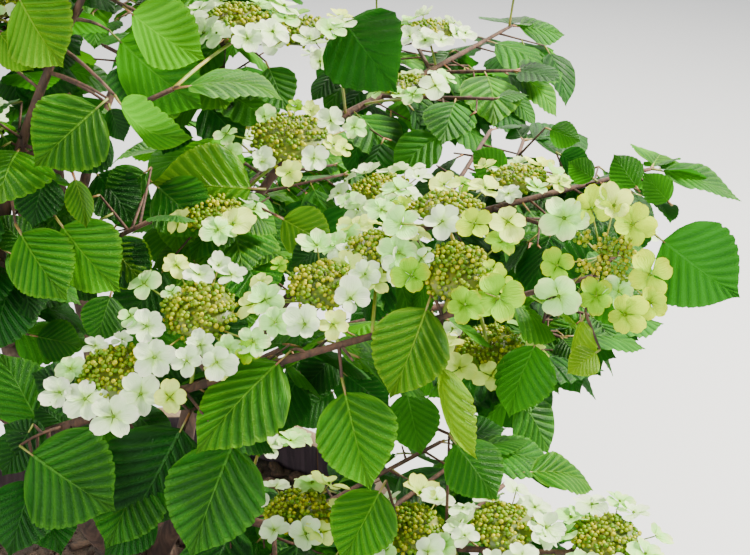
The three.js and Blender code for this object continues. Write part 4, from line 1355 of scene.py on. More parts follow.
# %% The growth rule
class Growth(Plan):
    """What finds room in one mass: its twigs, its leaves and its flower heads."""

    def add_twig(self, start, end, radii, kind):
        points = [start + (end - start) * share for share in TWIG_CHECKS]
        if not in_own_space(self.name, points) or not clear_of_limbs(points):
            return False
        middle = (start + end) / 2 + (SPUR_LIFT * UP if kind == "spur" else 0)
        self.twigs.append({"curve": (start, middle, end), "radii": radii, "kind": kind})
        return True

    def add_branches(self, number):
        for hand in (1, -1):
            share = (number + BRANCH["at"] - STAGGER * hand) / self.nodes
            start, along = bend(self.curve, share), heading(self.curve, share)
            reach = min(BRANCH["longest"], BRANCH["share"] * self.length * (BRANCH["fade"] - share))
            side = self.side_of(along, hand, number + 1)
            way = unit(along * BRANCH["forward"] + side + UP * BRANCH["lift"] * self.draw())
            end = start + way * reach * self.draw_in(BRANCH["length"])
            if self.add_twig(start, end, (TWIG["branch"], TWIG["tip"]), "branch"):
                self.plan_twig(straight(start, end), BRANCH["nodes"], 1)

    def add_head(self, shoot, nearest):
        node, centre, radius = shoot["node"], shoot["centre"], shoot["radius"]
        head = {"foot": node + shoot["along"] * LEAF["step"], "centre": centre, "radius": radius}
        for other in self.heads:
            if np.linalg.norm(other["centre"] - centre) < nearest * (other["radius"] + radius):
                return False
        for twig in self.twigs:
            for share in QUARTERS:
                if passes_head(bend(twig["curve"], share), bend(twig["curve"], share + 0.25), head):
                    return False
        if nearest == HEAD["nearest"] and any(passes_head(VIEWPOINT, end, head) for end in SIGHT_ENDS):
            return False
        points = head_points(head) + [node + (centre - node) * share for share in PEDUNCLE_CHECKS]
        if not in_own_space(self.name, points) or not clear_of_limbs(points):
            return False
        self.heads.append(head)
        return True

    def leaf_is_free(self, leaf):
        corners = leaf_corners(leaf)
        points = leaf_points(leaf)
        if not in_own_space(self.name, points) or not clear_of_limbs(points):
            return False
        own = leaf_triangles(corners)
        others = [leaf_corners(other) for other in self.leaves]
        edges = [(a, b) for ring in others for a, b in zip(ring, ring[1:] + ring[:1])]
        blades = [triangle for ring in others for triangle in leaf_triangles(ring)]
        rods = [(twig["curve"][0], twig["curve"][2]) for twig in self.twigs]
        rods += [(head["foot"], head["centre"]) for head in self.heads]
        return not (
            hides_laid(own, SIGHT_ENDS)
            or any_crossing(corners, corners[1:] + corners[:1], blades)
            or any_crossing([a for a, b in edges + rods], [b for a, b in edges + rods], own)
            or any(leaf_meets_head(corners, head) for head in self.heads)
        )

    def add_laid_pieces(self):
        places = self.mass.get("heads", [])
        leans = self.mass.get("leans", [0] * len(places))
        spans = self.mass.get("spans", [1] * len(places))
        for place, lean, span in zip(places, leans, spans):
            centre = np.array(place, float)
            node = nearest_node(self.curve, centre - UP * PEDUNCLE)
            shoot = {"node": node, "along": np.zeros(3), "centre": centre, "radius": HEAD["laid_radius"]}
            if self.add_head(shoot, HEAD["nearest_laid"]):
                self.heads[-1].update({"laid": True, "lean": math.radians(lean), "span": span})
        for number, (foot, tip) in enumerate(self.mass.get("leaves", [])):
            leaf = laid_leaf(foot, tip)
            free = in_own_space(self.name, leaf_points(leaf))
            node = nearest_node(self.curve, leaf["foot"])
            if free and self.add_twig(node, leaf["foot"], SPUR_RADII, "spur"):
                leaf["laid"] = number
                self.leaves.append(leaf)

    def grow(self):
        radii = (limbs[self.mass["limb"]]["radii"][1], TWIG["tip"])
        self.twigs.append({"curve": self.curve, "radii": radii, "kind": "main"})
        self.add_laid_pieces()
        if not self.mass.get("laid_by_hand"):
            self.plan_twig(self.curve, self.nodes, 0)
            for number in range(1, self.nodes - 1, 2 if self.upright else 1):
                self.add_branches(number)
        for shoot in self.shoots:
            flowers = shoot["flowers"] and not self.mass.get("leafy")
            shoot["blooms"] = flowers and self.add_head(shoot, HEAD["nearest"])
        for shoot in self.shoots:
            plans = shoot["leaves"] if shoot["blooms"] or shoot["at_tip"] else shoot["leaves"][:1]
            for i, (way, length, roll) in enumerate(plans):
                foot = shoot["node"] + shoot["along"] * (0 if shoot["at_tip"] else 2 * i * LEAF["step"])
                leaf = make_leaf(foot, way, length, roll)
                if self.leaf_is_free(leaf):
                    self.leaves.append(leaf)


growths = {name: Growth(name) for name in MASSES}
for growth in growths.values():
    growth.grow()
print(
    "from the rule:", sum(len(growth.leaves) for growth in growths.values()), "leaves and",
    sum(len(growth.heads) for growth in growths.values()), "flower heads",
)

# %% [markdown]
# The solids stop at twigs that a hand could break off. Here the same rule goes two steps finer: spurs
# stand along every twig and carry pairs of smaller leaves, inside the box of the mass's own solid, so
# the crown fills without growing. They hang below the twigs, as the leaves of this shrub do, and leave
# the tops of the tiers to the flowers.

# %% Leaves laid between the flower heads
LAID_FINE = {
    "low_front_right": [
        ("deep", (222, -224, 817), (179, -251, 801)),
        ("deep", (250, -233, 811), (215, -230, 836)),
    ],
    "tier_back_right": [
        ("deep", (216, 74, 1024), (270, -13, 981)),
    ],
    "leader_right": [
        ("deep", (88, -179, 906), (52, -224, 867)), ("deep", (102, -181, 872), (152, -214, 844)),
        ("mid", (68, -172, 867), (82, -215, 813)), ("deep", (159, -157, 893), (136, -190, 857)),
        ("deep", (189, -172, 867), (190, -209, 823)),
        ("deep", (217, -192, 932), (185, -211, 919)),
        ("deep", (37, -145, 914), (68, -132, 956)),
    ],
    "leader_back_right": [
        ("mid", (154, 10, 1002), (174, -22, 967)),
    ],
    "tier_front_right": [
        ("mid", (4, -290, 823), (-28, -264, 877)), ("mid", (87, -318, 824), (60, -372, 780)),
        ("deep", (7, -332, 821), (-3, -389, 788)), ("deep", (398, -245, 911), (427, -207, 956)),
        ("mid", (412, -218, 928), (446, -256, 891)),
        ("deep", (47, -282, 846), (-3, -280, 870)), ("deep", (132, -280, 850), (84, -277, 865)),
        ("mid", (272, -272, 854), (284, -311, 816)),
        ("deep", (5, -325, 812), (28, -370, 774)),
        ("deep", (90, -323, 786), (55, -359, 764)),
        ("deep", (4, -311, 846), (-16, -338, 819)),
        ("deep", (193, -251, 850), (171, -287, 817)),
        ("deep", (223, -246, 849), (263, -269, 828)),
        ("deep", (15, -317, 826), (-17, -315, 849)),
        ("deep", (23, -285, 821), (-4, -282, 846)),
        ("deep", (47, -283, 845), (0, -282, 866)),
        ("lemon", (407, -308, 908), (382, -325, 899)),
        ("deep", (223, -228, 854), (191, -253, 831)),
        ("deep", (184, -224, 853), (209, -251, 826)),
    ],
    "leader_front": [
        ("mid", (-15, -228, 869), (29, -241, 867)), ("fresh", (42, -203, 943), (82, -233, 912)),
        ("mid", (77, -169, 972), (128, -199, 940)),
        ("mid", (2, -245, 951), (-23, -240, 979)),
        ("deep", (36, -178, 987), (73, -212, 957)),
        ("mid", (81, -178, 987), (47, -201, 968)),
        ("deep", (42, -204, 941), (82, -232, 913)),
        ("mid", (60, -258, 928), (50, -291, 900)),
        ("mid", (-22, -201, 1027), (7, -232, 1004)),
    ],
    "tier_right": [
        ("mid", (369, -37, 911), (334, -29, 935)),
        ("mid", (480, -61, 909), (457, -39, 937)),
        ("deep", (412, -12, 925), (443, -30, 914)),
        ("mid", (404, 8, 940), (436, -3, 931)),
        ("mid", (508, -67, 899), (483, -52, 924)),
        ("mid", (444, -52, 915), (417, -38, 929)),
    ],
}
LAID_FINE_HEADS = {
    "leader_front": [((149, -141, 1090), 8)],
    "leader_back_right": [((185, 43, 1020), 5)],
}
print("finer leaves laid by hand:", sum(len(leaves) for leaves in LAID_FINE.values()))

# %% [markdown]
# A finer leaf is tested at more places along its margin than the rule's own leaves, because it stands
# closer to the flowers. It also stays out of the space behind the blades that were laid one by one, where
# only its edge would show.

# %% Room for a finer leaf
FINE = {
    "spacing": 19, "spur": 36, "spur_spread": 22, "leaf": 64, "leaf_spread": 18, "slack": 7, "apart": 0.27,
    "seed": 500, "first": 0.75, "turn": 2.4, "roll": 0.8, "middle": 0.55,
    "forward": (0.35, 0.3), "droop": (0.7, 0.6), "end_droop": (0.5, 0.6), "inner_droop": 0.9,
    "spur_hang": (0.15, 0.5), "spur_rise": 0.15, "spur_forward": (0.3, 0.5), "tip_spread": (0.3, 0.5),
    "tip_droop": 0.6,
}
FINE_RADII = (1.25, 0.8)
TIP_SIZES = (0.95, 0.75, 0.55)
OUTLINE_PLACES = [
    (along, hand * across) for along, across in [(0.15, 0.5), (0.3, 0.95), (0.6, 0.9), (0.85, 0.5)]
    for hand in (1, -1)
]
FINE_HEAD_PLACES = [
    point for heads in LAID_FINE_HEADS.values() for place, _ in heads
    for point in head_points({"centre": np.array(place, float), "radius": HEAD["laid_radius"]})
]
FINE_SIGHTS = np.concatenate([sight_ends(LEAF_PLACES + OUTLINE_PLACES), FINE_HEAD_PLACES])
HEAD_REACH = 1.12
SHADE_REACH = 400
LAID_BLADES = np.concatenate([
    leaf_triangles(leaf_corners(laid_leaf(foot, tip)))
    for mass in MASSES.values() for foot, tip in mass.get("leaves", [])
])


def in_leaning_head(points, head):
    """Whether any point lies in the round of a head that leans towards the viewpoint."""
    if not head.get("lean"):
        return False
    normal = np.array([0.0, -math.sin(head["lean"]), math.cos(head["lean"])])
    off = np.asarray(points) - head["centre"]
    rise = off @ normal
    reach = np.linalg.norm(off - rise[:, None] * normal, axis=1)
    radius = HEAD_REACH * head["radius"] * head["span"]
    return bool(np.any((np.abs(rise) < HEAD["rise"]) & (reach < radius)))


def mass_box(name):
    low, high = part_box(name)
    return np.array(low) / MM - FINE["slack"], np.array(high) / MM + FINE["slack"]


def blade_middle(leaf):
    return leaf["foot"] + leaf["along"] * leaf["length"] * FINE["middle"]


print("places the finer leaves keep open:", len(FINE_SIGHTS))

# %% [markdown]
# A finer leaf fits where it stays in its mass's box and space, apart from the other leaves, out of the
# heads and out of the lines of sight.

# %% The fit of a finer leaf
class FinerRoom(Chance):
    """The room that is left in one mass for finer leaves."""

    def __init__(self, growth):
        super().__init__(growth.mass["seed"] + FINE["seed"])
        self.growth = growth
        self.low, self.high = mass_box(growth.name)
        self.middles = [blade_middle(leaf) for leaf in growth.leaves]
        self.spurs = []

    def fits(self, leaf):
        points = leaf_points(leaf)
        if np.any(points < self.low) or np.any(points > self.high):
            return False
        if not in_own_space(self.growth.name, points, 0) or not clear_of_limbs(points[1:]):
            return False
        middle = blade_middle(leaf)
        gaps = [np.linalg.norm(other - middle) for other in self.middles]
        if min(gaps, default=math.inf) < FINE["apart"] * leaf["length"]:
            return False
        corners = leaf_corners(leaf)
        if hides_laid(leaf_triangles(corners), FINE_SIGHTS):
            return False
        edge = leaf_points(leaf, LEAF_PLACES + OUTLINE_PLACES)
        if any_crossing(edge, edge + SHADE_REACH * unit(np.array(edge) - VIEWPOINT), LAID_BLADES):
            return False
        if any(leaf_meets_head(corners, head) or in_leaning_head(points, head) for head in self.growth.heads):
            return False
        self.middles.append(middle)
        return True

    def nearest_twig(self, place):
        nodes = [nearest_node(twig["curve"], place) for twig in self.growth.twigs]
        return min(nodes, key=lambda node: np.linalg.norm(node - place))


print("a finer leaf stands apart by this share of its length:", FINE["apart"])

# %% [markdown]
# Each twig gets spurs at even steps, and each spur a pair of leaves at its end and one halfway. A leaf
# that finds no room is left out, so the tufts come out uneven, as they are on a living plant.

# %% Finer growth
class FinerGrowth(FinerRoom):
    """Spurs and smaller leaves on what one mass already has."""

    def add_pair(self, node, along, side, droop):
        for hand in (1, -1):
            forward = self.draw_in(FINE["forward"])
            way = along * forward + side * hand - UP * droop * self.draw_in(FINE["droop"])
            length = FINE["leaf"] + FINE["leaf_spread"] * (2 * self.draw() - 1)
            leaf = make_leaf(node, way, length, FINE["roll"] * (self.draw() - 0.5))
            leaf["fine"] = True
            if self.fits(leaf):
                self.growth.leaves.append(leaf)

    def add_spur(self, twig, share, number):
        along = heading(twig["curve"], share)
        start = bend(twig["curve"], share)
        turn = self.growth.mass["seed"] + number * FINE["turn"]
        if self.growth.upright:
            side = way_at(turn, FINE["spur_rise"])
        else:
            level = unit(np.cross(along, UP)) * (1 if number % 2 else -1)
            side = level - UP * self.draw_in(FINE["spur_hang"])
        way = unit(side + along * self.draw_in(FINE["spur_forward"]))
        end = start + way * (FINE["spur"] + FINE["spur_spread"] * (2 * self.draw() - 1))
        if not in_own_space(self.growth.name, [end], 0) or not clear_of_limbs([end]):
            return
        before = len(self.growth.leaves)
        level = unit(np.cross(way, UP))
        self.add_pair(end, way, level, self.draw_in(FINE["end_droop"]))
        self.add_pair((start + end) / 2, way, level, FINE["inner_droop"])
        if len(self.growth.leaves) > before:
            self.add_fine_spur(start, end)

    def add_fine_spur(self, start, end):
        self.spurs.append({"curve": straight(start, end), "radii": FINE_RADII, "kind": "spur"})

    def lay(self, tone, foot, tip):
        """A leaf where the picture shows one, on a spur from the nearest twig."""
        leaf = laid_leaf(foot, tip)
        foot, tip = leaf["foot"], np.array(tip, float)
        leaf["fine"], leaf["laid_tone"] = True, tone
        self.growth.leaves.append(leaf)
        self.middles.append((foot + tip) / 2)
        self.add_fine_spur(self.nearest_twig(foot), foot)

    def lay_head(self, place, lean):
        """A smaller head behind the long bough, on a stalk from the nearest twig."""
        centre = np.array(place, float)
        self.growth.heads.append({
            "foot": self.nearest_twig(centre - PEDUNCLE * UP), "centre": centre, "span": 1,
            "radius": HEAD["laid_radius"], "lean": math.radians(lean),
        })

    def close_tip(self, twig):
        """A last pair of small leaves at a twig's end."""
        along = heading(twig["curve"], 1)
        side = unit(np.cross(along, UP))
        for hand in (1, -1):
            for size in TIP_SIZES:
                spread = self.draw_in(FINE["tip_spread"])
                way = along + side * hand * spread - UP * FINE["tip_droop"] * self.draw()
                length = FINE["leaf"] * size
                leaf = make_leaf(twig["curve"][2], way, length, FINE["roll"] * (self.draw() - 0.5))
                leaf["fine"] = True
                if self.fits(leaf):
                    self.growth.leaves.append(leaf)
                    break

    def grow(self):
        number = 0
        for place, lean in LAID_FINE_HEADS.get(self.growth.name, []):
            self.lay_head(place, lean)
        for tone, foot, tip in LAID_FINE.get(self.growth.name, []):
            self.lay(tone, foot, tip)
        for twig in list(self.growth.twigs):
            length = np.linalg.norm(twig["curve"][2] - twig["curve"][0])
            if twig["kind"] == "spur":
                continue
            self.close_tip(twig)
            for step in range(int(length / FINE["spacing"])):
                number += 1
                self.add_spur(twig, (step + FINE["first"]) * FINE["spacing"] / length, number)
        self.growth.twigs += self.spurs


for growth in growths.values():
    FinerGrowth(growth).grow()
all_leaves = [leaf for growth in growths.values() for leaf in growth.leaves]
all_heads = [head for growth in growths.values() for head in growth.heads]
print("with the finer growth:", len(all_leaves), "leaves and", len(all_heads), "heads")

# %% [markdown]
# A blade of this shrub is pleated along its side veins, and each vein ends in a small tooth. The grid of
# the template is laid out with that in mind: every row of it is a vein or the ridge between two veins,
# running outwards and forwards from the midrib. A few dozen faces then hold all the pleats.

# %% The leaf's shape
VEINS = 7
NEAR_VEINS = 9
PLEAT = 0.017
TOOTH = 0.055
OUTLINE = {"base": 0.7, "tip": 1.06, "drip": 0.55, "drip_reach": 0.12}
VEIN_SLANT = {"share": 0.68, "power": 1.6}
FOOT_ROWS = [(0.0, 0.0, 0.0, 0.0, 0.0), (0.004, 0.1, 0.2, 0.0, 0.35), (0.012, 0.21, 0.5, 0.0, 0.65)]
FIRST_VEIN = 0.03
VEIN_SPAN = 0.93


def half_outline(share):
    """Half the blade's width at a share of its length, as a share of its greatest half width."""
    rise, fall = OUTLINE["base"], OUTLINE["tip"]
    widest = rise / (rise + fall)
    body = (share / widest) ** rise * ((1 - share) / (1 - widest)) ** fall
    return body * (1 - OUTLINE["drip"] * math.exp(-(((1 - share) / OUTLINE["drip_reach"]) ** 2)))


def vein_end(share):
    """Where along the margin the vein ends that leaves the midrib at this share."""
    return 1 - VEIN_SLANT["share"] * (1 - share) ** VEIN_SLANT["power"]


def leaf_rows(veins):
    """Each row's share along the midrib, share along the margin, height, tooth and vein count."""
    rows = list(FOOT_ROWS)
    for number in range(veins):
        middle = FIRST_VEIN + VEIN_SPAN * number / veins
        ridge = middle + VEIN_SPAN / 2 / veins
        fade = 1 - 0.5 * number / veins
        rows.append((middle, vein_end(middle), -fade, TOOTH, number + 1.0))
        rows.append((ridge, vein_end(ridge), fade, 0.0, number + 1.5))
    rows.append((1.0, 1.0, 0.0, 0.0, veins + 1.0))
    return rows


def finer_rows(veins):
    """The same rows with one more between each two, and a small tooth on each of those."""
    rows = leaf_rows(veins)
    finer = [rows[0]]
    for before, after in zip(rows, rows[1:]):
        between = [(a + b) / 2 for a, b in zip(before, after)]
        between[3] = TOOTH * 0.7 if len(finer) > 5 else 0.0
        finer += [tuple(between), (*after[:3], after[3] * 0.8 - 0.012, after[4])]
    return finer


print("rows of a far and a near blade:", len(leaf_rows(VEINS)), len(finer_rows(NEAR_VEINS)))

# %% [markdown]
# A blade is flat only as a template. Each copy is arched from its stalk to its tip, folded up along the
# midrib, twisted a little and curled at the end, so no two leaves of a spray catch the light alike.

# %% Bending the blades
PETIOLE_SHARE = 0.13
CURL_SHAPE = {"from": 0.4, "back": 0.6}
WAVE_SHAPE = {"count": 9, "phase": 120, "height": 0.3}


def leaf_template(rows, columns):
    """x is the share of the half width, y the share of the length, and z the pleat's height."""
    shape = bmesh.new()
    bmesh.ops.create_grid(shape, x_segments=2 * columns, y_segments=len(rows) - 1, size=1)

    def row_at(co):
        return rows[round((co.y + 1) / 2 * (len(rows) - 1))]

    write_own_map(shape, lambda co: (co.x / 2 + 0.5, row_at(co)[4]))
    for vert in shape.verts:
        middle, margin, height, tooth, _ = row_at(vert.co)
        across = abs(vert.co.x)
        share = middle + (margin - middle) * across**0.9
        width = half_outline(margin) * across * (1 + tooth * across**6)
        at_margin = 1 - 0.5 * across**3
        vert.co = (math.copysign(width, vert.co.x), share, height * PLEAT * min(1, across * 4) * at_margin)
    bmesh.ops.remove_doubles(shape, verts=shape.verts, dist=1e-4)
    bmesh.ops.recalc_face_normals(shape, faces=shape.faces)
    if sum(face.normal.z for face in shape.faces) < 0:
        bmesh.ops.reverse_faces(shape, faces=shape.faces)
    return Template(shape)


def dressed_leaves(template, leaves):
    """The template's corners for every leaf, arched from foot to tip and folded along its midrib."""
    keys = ("foot", "along", "across", "length", "width")
    column = {key: np.array([leaf[key] for leaf in leaves]) for key in keys}
    bends = ("arch", "fold", "twist", "curl", "wave")
    shape = {key: np.array([leaf[key] for leaf in leaves])[:, None] for key in bends}
    length, width = column["length"][:, None], column["width"][:, None]
    x, y, z = (template.points[:, i][None] for i in range(3))
    along_share = PETIOLE_SHARE + (1 - PETIOLE_SHARE) * y
    across = x * width / 2
    turn = shape["twist"] * y
    past = np.clip(y - CURL_SHAPE["from"], 0, 1)
    lift = shape["arch"] * length * np.sin(math.pi * along_share)
    lift = lift - shape["fold"] * np.abs(across) ** 1.5 / np.sqrt(width / 2)
    lift = lift - shape["curl"] * length * past**2
    waving = np.sin(WAVE_SHAPE["count"] * y + WAVE_SHAPE["phase"] * shape["wave"])
    lift = lift + shape["wave"] * width * waving * x**2 * WAVE_SHAPE["height"]
    lift = lift + z * length + across * np.sin(turn)
    side = across * np.cos(turn)
    back = shape["curl"] * length * CURL_SHAPE["back"] * past**2
    over = np.cross(column["along"], column["across"])
    return (
        column["foot"][:, None]
        + column["along"][:, None] * (along_share * length - back)[..., None]
        + column["across"][:, None] * side[..., None]
        + over[:, None] * lift[..., None]
    )


def petiole_curve(leaf):
    over = np.cross(leaf["along"], leaf["across"])
    end_share = PETIOLE_SHARE + 0.03
    lift = leaf["arch"] * leaf["length"] * math.sin(math.pi * end_share)
    end = leaf["foot"] + leaf["along"] * end_share * leaf["length"] + over * (lift - 0.4)
    return leaf["foot"], (leaf["foot"] + end) / 2 + over * lift * 0.15, end


plain_blade = leaf_template(leaf_rows(VEINS), 2)
near_blade = leaf_template(finer_rows(NEAR_VEINS), 3)
print("faces of a far and a near blade:", len(plain_blade.sizes), len(near_blade.sizes))

# %% [markdown]
# Leaf colours belong to sprays: fresh yellow-green where the light reaches young growth, deep green
# inside. Each colour is a finish and a piece of its own. The veins come from the blade's own map, whose
# second number counts them, so they fall in the pleats. Small cells between them make the quilting. The
# colour also paints shade into the pleats' valleys, the side veins' grooves and the cells' edges, and a
# painted highlight on the ridges between the veins.

# %% Leaf finishes
QUILT = 2.6


def leaf_finish(name, base, vein, deep, tip, glow, veins):
    finish = Finish(name)
    across, count, _ = finish.own_map()
    from_midrib = abs(across * 2 - 1)
    off_vein = count.off_whole()
    painted_vein_shade = off_vein.smooth(0.1, 0.015)
    midrib = from_midrib.smooth(0.045, 0.012)
    net = finish.grain(finish.vector(across * 30, count * 8), 1.0, 3.0, 0.65)
    quilt = finish.cells(finish.vector(across * 22, count * QUILT), 1.0, "DISTANCE_TO_EDGE")
    painted_veinlet_shade = quilt.smooth(0.14, 0.02)
    tone = finish.grain(finish.place(), 21, 2.0, 0.5)
    body = finish.mix(tone.smooth(0.36, 0.64), deep, base)
    # Painted shade: the pleats' valleys along the veins are darkened towards the deep green.
    body = finish.mix(off_vein.smooth(0.3, 0.03) * 0.6, body, deep)
    # Painted highlight: the ridges between the veins are lightened towards the tip colour.
    body = finish.mix(off_vein.smooth(0.24, 0.46) * 0.45, body, tip)
    tipwards = (count / (veins + 1)).smooth(0.62, 1.02)
    body = finish.mix(tipwards.larger(from_midrib.smooth(0.86, 1.0)) * 0.55, body, tip)
    # Painted shade: thin dark lines along the small cells' edges, where the veinlets lie in grooves.
    body = finish.mix(painted_veinlet_shade * 0.25, body, deep)
    # Painted shade: a dark line in the groove of each side vein.
    body = finish.mix(painted_vein_shade * 0.8, body, deep)
    body = finish.mix(midrib * 0.6, body, vein)
    relief = off_vein * 1.5 + net * 0.2 + quilt.smooth(0.0, 0.35) * 0.13 - midrib * 0.4
    return finish.surface(
        {
            "Base Color": body,
            "Roughness": net * 0.16 + 0.44,
            "Specular IOR Level": 0.2,
            "Normal": finish.bump(relief, 0.0034),
        },
        glow,
        0.36,
    )


# The tones are partly the leaves' own greens, from young yellow-green to old deep green, and partly lit and
# shaded copies of one green: the deeper tones also stand for painted shade on leaves in the shade of the
# crown.
LEAF_TONES = {
    "lemon": ((136, 196, 0), (164, 208, 0), (92, 140, 0), (176, 216, 0), (168, 228, 0)),
    "fresh": ((78, 156, 6), (160, 206, 50), (34, 92, 0), (142, 186, 8), (134, 208, 16)),
    "bright": ((62, 150, 13), (130, 196, 46), (24, 83, 2), (116, 181, 13), (104, 204, 15)),
    "mid": ((45, 126, 21), (102, 170, 58), (18, 71, 11), (82, 152, 21), (72, 168, 19)),
    "deep": ((28, 96, 28), (70, 136, 57), (12, 54, 16), (52, 120, 26), (45, 126, 20)),
}


def leaf_finishes(name, veins):
    return {
        tone: leaf_finish(f"{name}_{tone}", *[colour(*shade) for shade in shades], veins)
        for tone, shades in LEAF_TONES.items()
    }


near_finishes = leaf_finishes("near_leaf", NEAR_VEINS)
plain_finishes = leaf_finishes("leaf", VEINS)
print("leaf finishes:", len(near_finishes) + len(plain_finishes))

# %% [markdown]
# The blades laid one by one get the tone and the bend that they have in the photograph. All others draw
# theirs, with young tones at the outer end of a mass and deep ones further in. The masses that stand
# behind the long bough there are shaded, and draw deeper tones.

# %% Looks of the laid leaves
LOOKS = ("tone", "arch", "fold", "curl", "wide", "roll")
LAID_LEAVES = {
    "tier_front_right": [
        ("mid", 0.05, 0.15, 0.08, 1.15, 0.2),
        ("deep", 0.04, 0.2, 0.1, 1.1, -0.3),
        ("mid", 0.05, 0.1, 0.1, 1.0, 0.2),
        ("bright", 0.05, 0.3, 0.1, 0.9, 0.45),
        ("fresh", 0.05, 0.2, 0.15, 0.95, -0.2),
        ("bright", 0.05, 0.2, 0.08, 1.0, 0.2),
        ("lemon", 0.14, 1.2, 0.4, 0.42, 0.5),
        ("mid", 0.06, 0.3, 0.2, 1.0, 0.4),
        ("deep", 0.03, 0.05, 0.1, 1.25, 0.3),
        ("lemon", 0.1, 1.2, 0.3, 0.6, 0.6),
    ],
    "leader_front": [
        ("bright", 0.06, 0.15, 0.08, 1.15, 0.1),
        ("bright", 0.14, 0.3, 0.3, 0.8, 0.9),
        ("fresh", 0.05, 0.2, 0.1, 1.1, 0.35),
        ("bright", 0.06, 0.3, 0.15, 0.9, 0.3),
        ("bright", 0.06, 0.4, 0.15, 0.95, 0.3),
        ("mid", 0.05, 0.3, 0.1, 1.0, 0.4),
        ("bright", 0.06, 0.3, 0.15, 1.0, 0.5),
        ("fresh", 0.08, 0.6, 0.2, 0.62, -0.3),
        ("fresh", 0.08, 0.4, 0.2, 0.9, 0.2),
        ("deep", 0.05, 0.3, 0.1, 0.9, 0.3),
        ("deep", 0.05, 0.3, 0.1, 1.1, 0.2),
    ],
}
print("looks of laid leaves:", sum(len(rows) for rows in LAID_LEAVES.values()))

# %% [markdown]
# The tones are dealt out by the leaf's rank: how far out it stands, and a drawn part. A bend is a least
# value and how much the draw can add, as a share of the leaf's size. The masses near the
# photograph's camera get the blade with more veins, and all others the plain one.

# %% Dressing the leaves
NEAR_MASSES = ("leader_front", "tier_front_right", "leader_right", "tier_right", "low_front_right")
TONE_ORDER = ("fresh", "bright", "mid", "deep")
RANK = {"start": 2.5, "outward": 1.3, "furthest": 1.1, "drawn": 2.1, "fine": 0.4}
DRAWN = ("rank", "arch", "fold", "twist", "curl", "wave")
BENDS = {"arch": (0.03, 0.07), "fold": (-0.1, 0.45), "wave": (0.05, 0.1)}
TWIST = 0.5
CURL = 0.35
leaf_draw = np.random.default_rng(7)


def dress_leaf(name, leaf):
    growth = growths[name]
    outward = np.linalg.norm(leaf["foot"] - growth.curve[0]) / growth.length
    drawn = dict(zip(DRAWN, leaf_draw.uniform(size=len(DRAWN))))
    rank = RANK["start"] - RANK["outward"] * min(RANK["furthest"], outward)
    rank = rank + RANK["drawn"] * (drawn["rank"] - 0.5) + (RANK["fine"] if "fine" in leaf else 0)
    rank += growth.mass.get("shade", 0)
    leaf["tone"] = leaf.get("laid_tone", TONE_ORDER[int(min(3, max(0, rank)))])
    for bent, (least, width) in BENDS.items():
        leaf[bent] = least + width * drawn[bent]
    leaf["twist"] = TWIST * (drawn["twist"] - 0.5)
    leaf["curl"] = CURL * drawn["curl"] ** 2
    laid = LAID_LEAVES.get(name, [])
    if leaf.get("laid") is not None and leaf["laid"] < len(laid):
        look = dict(zip(LOOKS, laid[leaf["laid"]]))
        roll = look["roll"]
        over = np.cross(leaf["along"], leaf["across"])
        leaf["across"] = leaf["across"] * math.cos(roll) + over * math.sin(roll)
        leaf["width"] = leaf["width"] * look["wide"]
        leaf.update({key: look[key] for key in ("tone", "arch", "fold", "curl")})


for mass_name, growth in growths.items():
    for leaf in growth.leaves:
        dress_leaf(mass_name, leaf)


def add_leaf_pieces(prefix, blade, finishes, near):
    for tone, finish in finishes.items():
        chosen = [
            leaf for name, growth in growths.items() for leaf in growth.leaves
            if leaf["tone"] == tone and (name in NEAR_MASSES) == near
        ]
        if chosen:
            batch = Batch()
            batch.add(blade, dressed_leaves(blade, chosen))
            batch.piece(f"{prefix}_{tone}", finish, "foliage")


add_leaf_pieces("near_leaves", near_blade, near_finishes, True)
add_leaf_pieces("leaves", plain_blade, plain_finishes, False)

# %% [markdown]
# Leaf stalks are short green rods, flushed red in patches. They bridge the bare foot of
# each blade to its node.

# %% Leaf stalks
def stalk_finish(name, base, blush):
    finish = Finish(name)
    tone = finish.grain(finish.place(), 60, 2.0)
    return finish.surface({
        "Base Color": finish.mix(tone.smooth(0.4, 0.65), base, blush),
        "Roughness": 0.5,
        "Normal": finish.bump(finish.grain(finish.place(), 900), 0.0002),
    })


petiole_green = stalk_finish("petiole", colour(128, 142, 52), colour(158, 104, 66))
PETIOLE_RADII = (1.1, 0.8)
petiole_tube = tube_template(4, 2)
petioles = Batch()
petiole_curves = [petiole_curve(leaf) for leaf in all_leaves]
petioles.add(petiole_tube, along_curves(petiole_tube, petiole_curves, [PETIOLE_RADII] * len(all_leaves)))
petioles.piece("petioles", petiole_green, "foliage")

# %% [markdown]
# The masses' own twigs are reddish brown and carry the boughs on. The long ones get rings of bud scars
# like the boughs, and all but the spurs end in a small pointed resting bud.

# %% Twigs
RESTING_BUD = {"length": 5, "radii": (1.4, 0.9), "lift": 0.5, "foot": 0.12, "blunt": 0.7}
TWIG_BARK = {"sides": 10, "step": 6, "depth": 0.07, "seed": 3.1}


def twig_pieces():
    batch = Batch()
    for number, (name, growth) in enumerate(growths.items()):
        main = growth.twigs[0]
        template = tube_template(TWIG_BARK["sides"], round(growth.length / TWIG_BARK["step"]))
        seed = TWIG_BARK["seed"] * number
        swell = bark_swell(template, growth.length, seed, TWIG_BARK["depth"], NODE_SPACING)
        batch.add(template, along_curves(template, [main["curve"]], [main["radii"]], swell))
    thin = tube_template(6, 4)
    rest = [twig for growth in growths.values() for twig in growth.twigs[1:]]
    batch.add(thin, along_curves(thin, [twig["curve"] for twig in rest], [twig["radii"] for twig in rest]))
    batch.piece("twigs", young_bark, "foliage", list(MASSES))


def resting_bud_curve(twig):
    end, way = twig["curve"][2], RESTING_BUD["length"] * heading(twig["curve"], 1)
    return end, end + way / 2, end + way + RESTING_BUD["lift"] * UP


